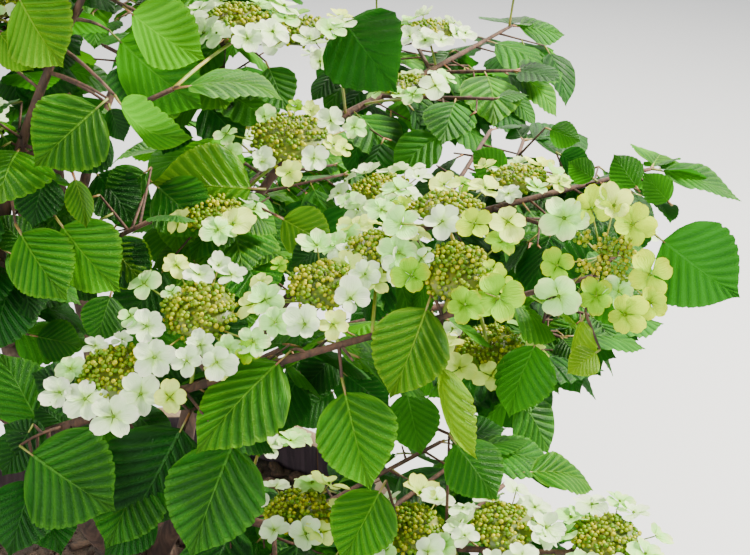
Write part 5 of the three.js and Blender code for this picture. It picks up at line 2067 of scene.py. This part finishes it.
def resting_bud_piece():
    bud = tube_template(5, 4)
    share = RESTING_BUD["foot"] + (1 - RESTING_BUD["foot"]) * bud.points[:, 2:]
    bud.points[:, :2] *= np.sin(math.pi * share) ** RESTING_BUD["blunt"]
    long_twigs = [twig for growth in growths.values() for twig in growth.twigs if twig["kind"] != "spur"]
    bud_curves = [resting_bud_curve(twig) for twig in long_twigs]
    batch = Batch()
    batch.add(bud, along_curves(bud, bud_curves, [RESTING_BUD["radii"]] * len(long_twigs)))
    batch.piece("resting_buds", young_bark, "foliage")


twig_pieces()
resting_bud_piece()

# %% [markdown]
# A flower head is a flat cluster of round buds inside a ring of wide, sterile florets. The rays start
# at one hub at the end of the stalk. Each inner ray ends in a small dome of buds, and each outer ray
# carries one floret of four or five rounded petals.

# %% Petals, buds and rays
CLAW = {"width": 0.26, "reach": 0.42, "start": 0.03}
NOTCH = {"depth": 0.07, "slope": 2.2}
UNEVEN = {"turn": 0.2, "tilt": 0.34, "cup": 0.36}
RIPPLE = {"height": 0.05, "along": 5, "across": 4, "petal": 2}
ROLLED_EDGE = 0.12
OVERLAP = 0.03


def petal_template_corner(x, y):
    """A corner of the square grid moved onto a rounded petal with a narrow claw at its foot."""
    round_x = x * math.sqrt(1 - y * y / 2)
    round_y = y * math.sqrt(1 - x * x / 2)
    share = (round_y + 1) / 2
    claw = min(1, share / CLAW["reach"])
    widening = (1 - CLAW["width"]) * claw * claw * (3 - 2 * claw)
    return round_x * (CLAW["width"] + widening), CLAW["start"] + (1 - CLAW["start"]) * share**0.92


def floret_template(widths, sizes, cup, seed, cells):
    """A floret of radius 1 that faces up: a petal from a grid for each size, turned about the middle."""
    shape = bmesh.new()
    draw = np.random.default_rng(seed)
    for number, size in enumerate(sizes):
        bmesh.ops.create_grid(shape, x_segments=cells, y_segments=cells, size=1)
        made = [vert for vert in shape.verts if not vert.tag]
        turn = math.tau * (number + UNEVEN["turn"] * (draw.uniform() - 0.5)) / len(sizes)
        tilt = UNEVEN["tilt"] * (draw.uniform() - 0.5)
        bent = cup + UNEVEN["cup"] * (draw.uniform() - 0.5)
        petal_faces = {face for vert in made for face in vert.link_faces}
        write_own_map(shape, lambda co: (co.x / 2 + 0.5, co.y / 2 + 0.5), petal_faces)
        for vert in made:
            vert.tag = True
            x, y = vert.co.x, vert.co.y
            across, along = petal_template_corner(x, y)
            notch = NOTCH["depth"] * max(0.0, 1 - NOTCH["slope"] * abs(x)) * max(0.0, y) ** 3
            width, reach = across * widths * size, (along - notch) * size
            waving = math.sin(RIPPLE["along"] * along + RIPPLE["across"] * x + RIPPLE["petal"] * number)
            ripple = RIPPLE["height"] * waving * along
            rise = bent * along * along + ROLLED_EDGE * across * across + tilt * across + ripple
            vert.co = (
                math.cos(turn) * reach - math.sin(turn) * width,
                math.sin(turn) * reach + math.cos(turn) * width,
                rise + OVERLAP * (number % 2),
            )
    for face in shape.faces:
        face.normal_update()
    bmesh.ops.reverse_faces(shape, faces=[face for face in shape.faces if face.normal.z < 0])
    return Template(shape)


FIVE_PETALS = (1.0, 0.9, 0.97, 0.82, 0.92)
UNEVEN_FIVE = (1.05, 0.86, 0.7, 0.74, 0.9)
FOUR_PETALS = (1.0, 0.86, 0.95, 0.9)
UNEVEN_FOUR = (1.08, 0.8, 0.72, 0.94)
FLORET_KINDS = [
    (0.41, FIVE_PETALS, 0.16), (0.41, FIVE_PETALS, -0.08), (0.5, FOUR_PETALS, 0.06),
    (0.43, UNEVEN_FIVE, 0.2), (0.5, UNEVEN_FOUR, 0.16), (0.42, FIVE_PETALS, 0.02), (0.48, FOUR_PETALS, -0.14),
]


def floret_templates(cells):
    return [
        floret_template(widths, sizes, cup, number + 1, cells)
        for number, (widths, sizes, cup) in enumerate(FLORET_KINDS)
    ]


NEAR_FLORETS = floret_templates(4)
PLAIN_FLORETS = floret_templates(3)
BUD_SHAPE = ball_template(1)
BED = ball_template(2)
RAY = tube_template(3, 1)
STALK = tube_template(6, 5)
print("floret faces:", len(NEAR_FLORETS[0].sizes), "bud faces:", len(BUD_SHAPE.sizes))

# %% [markdown]
# A petal is green at its claw and pales to its rim. The youngest florets at the bough's end are still
# flushed with yellow, more on one petal than on the next, and those further in are white. Thin petals
# let light through, so a share of translucent light is mixed in.

# %% Petal and bud finishes
def petal_finish(name, heart, blade, rim, glow):
    finish = Finish(name)
    across, along, _ = finish.own_map()
    veins = finish.grain(finish.vector(across * 16, along * 1.4), 1.0, 2.0, 0.6)
    body = finish.mix(along.smooth(0.05, 0.42), heart, blade)
    blush = finish.grain(finish.place(), 30, 2.0).smooth(0.44, 0.62)
    body = finish.mix(along.smooth(0.35, 0.9) * blush * 0.75, body, rim)
    body = finish.mix(along.smooth(0.72, 1.0) * 0.85, body, rim)
    body = finish.mix(veins.smooth(0.5, 0.7) * 0.34, body, heart)
    return finish.surface(
        {
            "Base Color": body,
            "Roughness": 0.65,
            "Specular IOR Level": 0.08,
            "Normal": finish.bump(veins, 0.0011),
        },
        glow,
        0.32,
    )


PETAL_TONES = {
    "white": ((0.48, 0.8, 0.16), (0.76, 0.95, 0.58), (0.95, 0.96, 0.78), (0.7, 0.95, 0.4)),
    "mint": ((0.3, 0.66, 0.06), (0.5, 0.93, 0.28), (0.86, 0.96, 0.45), (0.45, 0.9, 0.14)),
    "cream": ((0.4, 0.66, 0.0), (0.74, 0.94, 0.22), (0.88, 0.95, 0.18), (0.85, 0.95, 0.12)),
    "lemon": ((0.2, 0.46, 0.0), (0.5, 0.78, 0.0), (0.64, 0.76, 0.0), (0.68, 0.84, 0.0)),
    "lime": ((0.1, 0.32, 0.0), (0.26, 0.58, 0.0), (0.52, 0.6, 0.0), (0.3, 0.62, 0.0)),
}
petal_finishes = {
    tone: petal_finish("petal_" + tone, *[(*shade, 1.0) for shade in shades])
    for tone, shades in PETAL_TONES.items()
}


def bud_finish(name, base, tip):
    finish = Finish(name)
    tone = finish.grain(finish.place(), 320, 2.0)
    return finish.surface({
        "Base Color": finish.mix(tone.smooth(0.4, 0.62), base, tip),
        "Roughness": 0.5,
        "Specular IOR Level": 0.2,
        "Normal": finish.bump(tone, 0.0003),
    })


BUD_TONES = {
    "green": ((80, 122, 0), (108, 146, 0)),
    "olive": ((112, 136, 0), (140, 160, 0)),
    "gold": ((152, 154, 0), (188, 186, 0)),
}
bud_finishes = {
    tone: bud_finish("bud_" + tone, *[colour(*shade) for shade in shades])
    for tone, shades in BUD_TONES.items()
}
ray_green = stalk_finish("rays", colour(134, 158, 48), colour(168, 150, 58))
print("petal and bud finishes:", len(petal_finishes) + len(bud_finishes))

# %% [markdown]
# The heads of the long bough are turned to the camera by the angle that their ellipses in the photograph
# tell. Their florets are laid one by one: each has its tone, how far right and up of the head's middle it
# shows, and its radius. The other heads draw their florets from the same shapes.

# %% Florets laid one by one
LONG_BOUGH = "tier_front_right"
TURNED_MASSES = (LONG_BOUGH, "leader_right")
LAID_FLORETS = {
    (LONG_BOUGH, 0): [
        ("mint", -29, 26, 19), ("lemon", -10, 33, 16), ("cream", 6, 35, 16), ("lemon", 19, 22, 18),
        ("lemon", 31, -13, 19), ("lemon", 31, -33, 14), ("lemon", 13, -41, 18), ("mint", 9, -25, 14),
        ("lime", -7, -28, 15), ("mint", -33, -28, 18), ("lime", -34, -7, 14),
    ],
    (LONG_BOUGH, 1): [
        ("mint", -35, 14, 15), ("cream", 0, 18, 14), ("cream", 30, 15, 16), ("mint", -47, -3, 14),
        ("lemon", -33, 1, 9), ("white", -5, -12, 15), ("lemon", 17, -14, 14), ("cream", 40, -12, 16),
        ("mint", -33, -14, 16), ("lime", 14, 19, 10),
    ],
    (LONG_BOUGH, 2): [
        ("lime", 33, 20, 13), ("mint", -40, 12, 17), ("white", -24, 8, 12), ("lime", -32, -4, 15),
        ("lime", 27, -19, 21), ("lime", 4, -24, 15), ("lemon", 24, 0, 10), ("lemon", 31, -8, 11),
    ],
    (LONG_BOUGH, 3): [
        ("lime", -33, 13, 8), ("cream", -45, 0, 10), ("mint", -40, -11, 15), ("cream", -50, -24, 13),
        ("mint", -32, -27, 13), ("white", -12, -27, 15), ("cream", 7, -27, 12), ("white", 18, -10, 15),
        ("cream", 34, 2, 14), ("white", 22, 12, 12), ("white", 12, 20, 13), ("mint", -7, 27, 15),
    ],
    (LONG_BOUGH, 5): [
        ("white", -3, 23, 13), ("white", 10, 30, 10), ("white", 20, 23, 12), ("cream", -20, 30, 12),
        ("mint", -41, 17, 14), ("mint", -21, 11, 8), ("mint", -46, -5, 10), ("white", -34, -12, 15),
        ("white", -26, -32, 16), ("white", 4, -24, 12), ("white", -4, -34, 12), ("white", 16, -35, 14),
        ("cream", 15, -45, 10), ("mint", 23, -27, 11), ("mint", 39, -22, 13), ("lime", 35, -31, 10),
    ],
    (LONG_BOUGH, 6): [
        ("white", -16, 17, 10), ("mint", -30, 2, 12), ("white", -34, -13, 14), ("white", -16, -17, 17),
        ("white", 5, -28, 18), ("white", 21, -14, 17), ("cream", 41, -16, 13), ("white", 2, 21, 9),
        ("mint", 26, 12, 12),
    ],
    ("leader_right", 1): [
        ("mint", -51, 2, 12), ("mint", -46, -15, 11), ("mint", -22, 18, 11), ("white", -20, -23, 12),
        ("cream", 2, -32, 12), ("white", 20, -20, 13), ("cream", 35, -8, 12), ("white", 32, 14, 14),
        ("mint", 51, 8, 12), ("cream", 15, 23, 9), ("lime", 2, 28, 8), ("cream", 43, -11, 9),
    ],
}
OPEN_CLUSTERS = {
    (LONG_BOUGH, 0): [
        (-16, 12, 6), (0, 6, 9), (13, 7, 8), (15, 0, 7), (-3, -10, 8), (9, -13, 7), (-16, -8, 6),
    ],
}
LAID_FACING = 0.7
FLORET_FORWARD = 6
REAR_TONES = ("cream", "mint", "white")
COMMON_TONES = (("white", "mint", "cream"), ("mint", "white", "cream"), ("white", "white", "mint"))
PICTURE_UP = np.array([0.0, math.sin(math.radians(LOOKING_DOWN)), math.cos(math.radians(LOOKING_DOWN))])
RIGHT = np.array([1.0, 0.0, 0.0])
print("florets laid by hand:", sum(len(ring) for ring in LAID_FLORETS.values()))

# %% [markdown]
# A head is a leaning plane: its middle, the way it faces and two directions that span it. All that it
# carries is placed on that plane, and every stalk is a thin rod from the hub beneath it.

# %% A head's plane and stalks
RING_SHARE = 0.78
FLORET_SHARE = 0.37
BUD = {"radius": 1.95, "disc": 0.63, "dome": 9.5, "ring": 0.66, "near": 190, "plain": 120}
CLUSTERS = 6
CLUSTER = {"gather": 0.08, "stray": 0.6, "reach": 0.38, "fall": 2.2, "low": 3.0, "rough": 0.9}
BUD_MIX = (0.3, 0.42, 0.28)
STALK_RADII = (1.5, 1.3)
FORK_RADII = (0.9, 0.7)
FLORET_RAY_RADII = (0.75, 0.6)
BUD_RAY_RADII = (0.5, 0.4)
HUB_DEPTH = 15
SHOWN = {"reach": 1.15, "lowest": -12, "highest": 14}
GOLDEN = math.radians(137.5)
head_draw = np.random.default_rng(23)
floret_batches = {tone: Batch() for tone in PETAL_TONES}
bud_batches = {tone: Batch() for tone in BUD_TONES}
bed_batch = Batch()
ray_batch = Batch()
stalk_batch = Batch()


class HeadPlane:
    """A leaning head's middle, the way it faces, and the two directions that span it."""

    def __init__(self, head, lean, sway):
        self.centre, self.radius = head["centre"], head["radius"] * head.get("span", 1)
        self.normal = unit(np.array([sway[0], sway[1] - math.sin(lean), math.cos(lean)]))
        self.across = unit(RIGHT - self.normal * (RIGHT @ self.normal))
        self.away = np.cross(self.normal, self.across)
        self.hub = self.centre - HUB_DEPTH * self.normal

    def place(self, across, away, rise):
        return self.centre + self.across * across + self.away * away + self.normal * rise

    def shown_at(self, right, up):
        """The place on the head that shows this far right and up of its middle in the picture."""
        reach = SHOWN["reach"] * self.radius
        widest = math.sqrt(max(0.0, reach * reach - right * right))
        share = self.away @ PICTURE_UP
        away = min(widest, max(-widest, up / share))
        rise = (up - away * share) * (self.normal @ PICTURE_UP)
        return right, away, min(SHOWN["highest"], max(SHOWN["lowest"], rise))


def add_rods(batch, template, starts, ends, radii):
    rods = [straight(start, end) for start, end in zip(starts, ends)]
    batch.add(template, along_curves(template, rods, [radii] * len(rods)))


print("batches of florets and buds:", len(floret_batches) + len(bud_batches))

# %% [markdown]
# A floret leans outwards on its ray and is turned at random. In its middle sits one tiny green knob. A
# floret that is laid one by one also comes round to the viewpoint.

# %% Florets on their rays
FLORET = {"least_lean": 0.35, "most_lean": 0.75, "stray": 0.15, "knob": 0.09}
SKEWED = (0.31, 0.95, 0.02)


def add_floret(plane, across, away, rise, radius, tone, templates, facing=0.0):
    """A floret on its ray. It leans out from the head, and by facing it comes round to the viewpoint."""
    outward = (plane.across * across + plane.away * away) / plane.radius
    lean = head_draw.uniform(FLORET["least_lean"], FLORET["most_lean"]) * (1 - 0.5 * facing)
    to_view = unit(VIEWPOINT - plane.centre)
    stray = FLORET["stray"] * head_draw.normal(size=3)
    normal = unit(plane.normal + outward * lean + facing * to_view + stray)
    first = unit(np.cross(normal, SKEWED))
    turn = head_draw.uniform(0, math.tau)
    first = first * math.cos(turn) + np.cross(normal, first) * math.sin(turn)
    axes = np.stack([first, np.cross(normal, first), normal])
    template = templates[head_draw.integers(len(templates))]
    centre = plane.place(across, away, rise) + FLORET_FORWARD * facing * to_view
    floret_batches[tone].add(template, (centre + radius * template.points @ axes)[None])
    knob = centre + normal + FLORET["knob"] * radius * BUD_SHAPE.points
    bud_batches["green"].add(BUD_SHAPE, knob[None])
    add_rods(ray_batch, RAY, [plane.hub], [centre], FLORET_RAY_RADII)


print("a floret leans out by at most", FLORET["most_lean"])

# %% [markdown]
# The buds lie on a low dome in a sunflower's order, drawn together a little into seven clusters, and each
# stands on a stalk from its cluster's fork. A green bed closes the view between them.

# %% Buds in their clusters
BUD_SIZES = (0.75, 1.15)
BUD_BED = {"share": 0.9, "lower": 3, "sink": 2}
DOME_FORK = {"share": 0.6, "depth": 6}
OPEN = {"buds": 1.9, "rise": 6, "round": 2.4, "rough": 0.8, "fork": 0.8, "depth": 3}


def add_bud_cluster(plane, fork, across, away, rise):
    """Buds at the given places over the head, each on a stalk from one fork."""
    places = plane.centre + np.outer(across, plane.across) + np.outer(away, plane.away)
    places = places + np.outer(rise, plane.normal)
    sizes = BUD["radius"] * head_draw.uniform(*BUD_SIZES, len(places))
    tones = head_draw.choice(list(BUD_TONES), len(places), p=BUD_MIX)
    for tone in BUD_TONES:
        chosen = tones == tone
        if chosen.any():
            points = places[chosen][:, None] + BUD_SHAPE.points[None] * sizes[chosen][:, None, None]
            bud_batches[tone].add(BUD_SHAPE, points)
    add_rods(ray_batch, RAY, [fork] * len(places), places, BUD_RAY_RADII)


def add_bud_dome(plane, count):
    """Buds spiralled over the disc and drawn into seven small domes, every third bud standing lower."""
    disc = BUD["disc"] * plane.radius
    numbers = np.arange(count)
    radii = disc * np.sqrt((numbers + 0.5) / count)
    angles = GOLDEN * numbers + head_draw.uniform(0, 6)
    across, away = radii * np.cos(angles), radii * np.sin(angles)
    turns = math.tau * np.arange(CLUSTERS) / CLUSTERS + head_draw.uniform(0, 1)
    out = BUD["ring"] * disc
    middles = np.array([(0, 0)] + [(out * math.cos(turn), out * math.sin(turn)) for turn in turns])
    gaps = np.hypot(across[:, None] - middles[:, 0], away[:, None] - middles[:, 1])
    owners = gaps.argmin(axis=1)
    gather, stray, rough = CLUSTER["gather"], CLUSTER["stray"], CLUSTER["rough"]
    across += gather * (middles[owners, 0] - across) + head_draw.uniform(-stray, stray, count)
    away += gather * (middles[owners, 1] - away) + head_draw.uniform(-stray, stray, count)
    wide = BUD_BED["share"] * disc
    sizes = np.array([wide, wide, BUD["dome"] - BUD_BED["lower"]])
    axes = np.stack([plane.across, plane.away, plane.normal])
    bed_batch.add(BED, (plane.place(0, 0, -BUD_BED["sink"]) + (BED.points * sizes) @ axes)[None])
    near = gaps.min(axis=1) / (CLUSTER["reach"] * disc)
    rise = BUD["dome"] * (1 - (radii / disc) ** 2)
    rise = rise - CLUSTER["fall"] * near**2 - CLUSTER["low"] * (numbers % 3 == 0)
    rise += head_draw.uniform(-rough, rough, count)
    for number, (x, y) in enumerate(middles):
        chosen = owners == number
        fork = plane.place(DOME_FORK["share"] * x, DOME_FORK["share"] * y, -DOME_FORK["depth"])
        add_rods(ray_batch, RAY, [plane.hub], [fork], FORK_RADII)
        add_bud_cluster(plane, fork, across[chosen], away[chosen], rise[chosen])


def add_open_clusters(plane, clusters):
    """The loose clusters of a young head, each laid where the picture shows it."""
    for right, up, size in clusters:
        x, y, _ = plane.shown_at(right, up)
        count = int(OPEN["buds"] * size)
        numbers = np.arange(count)
        radii = size * np.sqrt((numbers + 0.5) / count)
        angles = GOLDEN * numbers + head_draw.uniform(0, 6)
        rough = head_draw.uniform(-OPEN["rough"], OPEN["rough"], count)
        rise = OPEN["rise"] - radii**2 / (OPEN["round"] * size) + rough
        fork = plane.place(OPEN["fork"] * x, OPEN["fork"] * y, -OPEN["depth"])
        add_rods(ray_batch, RAY, [plane.hub], [fork], FORK_RADII)
        add_bud_cluster(plane, fork, x + radii * np.cos(angles), y + radii * np.sin(angles), rise)


print("bud radius:", BUD["radius"])

# %% [markdown]
# Heads laid one by one get the florets listed above. All others draw eight to ten, evenly round the ring.

# %% Building the heads
RING = {"florets": (8, 11), "stray": 0.35, "reach": (0.88, 1.12), "size": (0.75, 1.12), "rise": (-2, 4)}
TONE_MIX = (0.5, 0.32, 0.18)
HEAD_SWAY = 0.1
STALK_BOW = {"share": 0.45, "rise": 4}


def add_drawn_ring(plane, tones, templates):
    count = int(head_draw.integers(*RING["florets"]))
    for number in range(count):
        angle = math.tau * (number + RING["stray"] * head_draw.uniform(-1, 1)) / count
        reach = plane.radius * RING_SHARE * head_draw.uniform(*RING["reach"])
        radius = plane.radius * FLORET_SHARE * head_draw.uniform(*RING["size"])
        tone = tones[int(head_draw.choice(3, p=TONE_MIX))]
        rise = head_draw.uniform(*RING["rise"])
        add_floret(plane, reach * math.cos(angle), reach * math.sin(angle), rise, radius, tone, templates)


def build_head(head, mass_name, number):
    near = mass_name in NEAR_MASSES
    laid = "laid" in head and mass_name in TURNED_MASSES
    sway = (0, 0) if laid else head_draw.normal(0, HEAD_SWAY, 2)
    plane = HeadPlane(head, head.get("lean", 0), sway)
    foot = head["foot"]
    control = foot + (plane.hub - foot) * STALK_BOW["share"] + STALK_BOW["rise"] * UP
    stalk = foot, control, plane.hub
    stalk_batch.add(STALK, along_curves(STALK, [stalk], [STALK_RADII]))
    templates = NEAR_FLORETS if near else PLAIN_FLORETS
    key = (mass_name, number)
    if laid and key in OPEN_CLUSTERS:
        add_open_clusters(plane, OPEN_CLUSTERS[key])
    else:
        add_bud_dome(plane, BUD["near"] if near else BUD["plain"])
    if laid and key in LAID_FLORETS:
        for tone, right, up, radius in LAID_FLORETS[key]:
            add_floret(plane, *plane.shown_at(right, up), radius, tone, templates, LAID_FACING)
    else:
        tones = REAR_TONES if laid else COMMON_TONES[int(head_draw.integers(len(COMMON_TONES)))]
        add_drawn_ring(plane, tones, templates)


for mass_name, growth in growths.items():
    for number, head in enumerate(growth.heads):
        build_head(head, mass_name, number)

for tone, batch in floret_batches.items():
    batch.piece("florets_" + tone, petal_finishes[tone], "foliage")
for tone, batch in bud_batches.items():
    batch.piece("buds_" + tone, bud_finishes[tone], "foliage")
bed_green = stalk_finish("bud_bed", colour(74, 98, 8), colour(112, 120, 14))
bed_batch.piece("bud_beds", bed_green, "foliage")
ray_batch.piece("flower_rays", ray_green, "foliage")
stalk_batch.piece("flower_stalks", ray_green, "foliage")
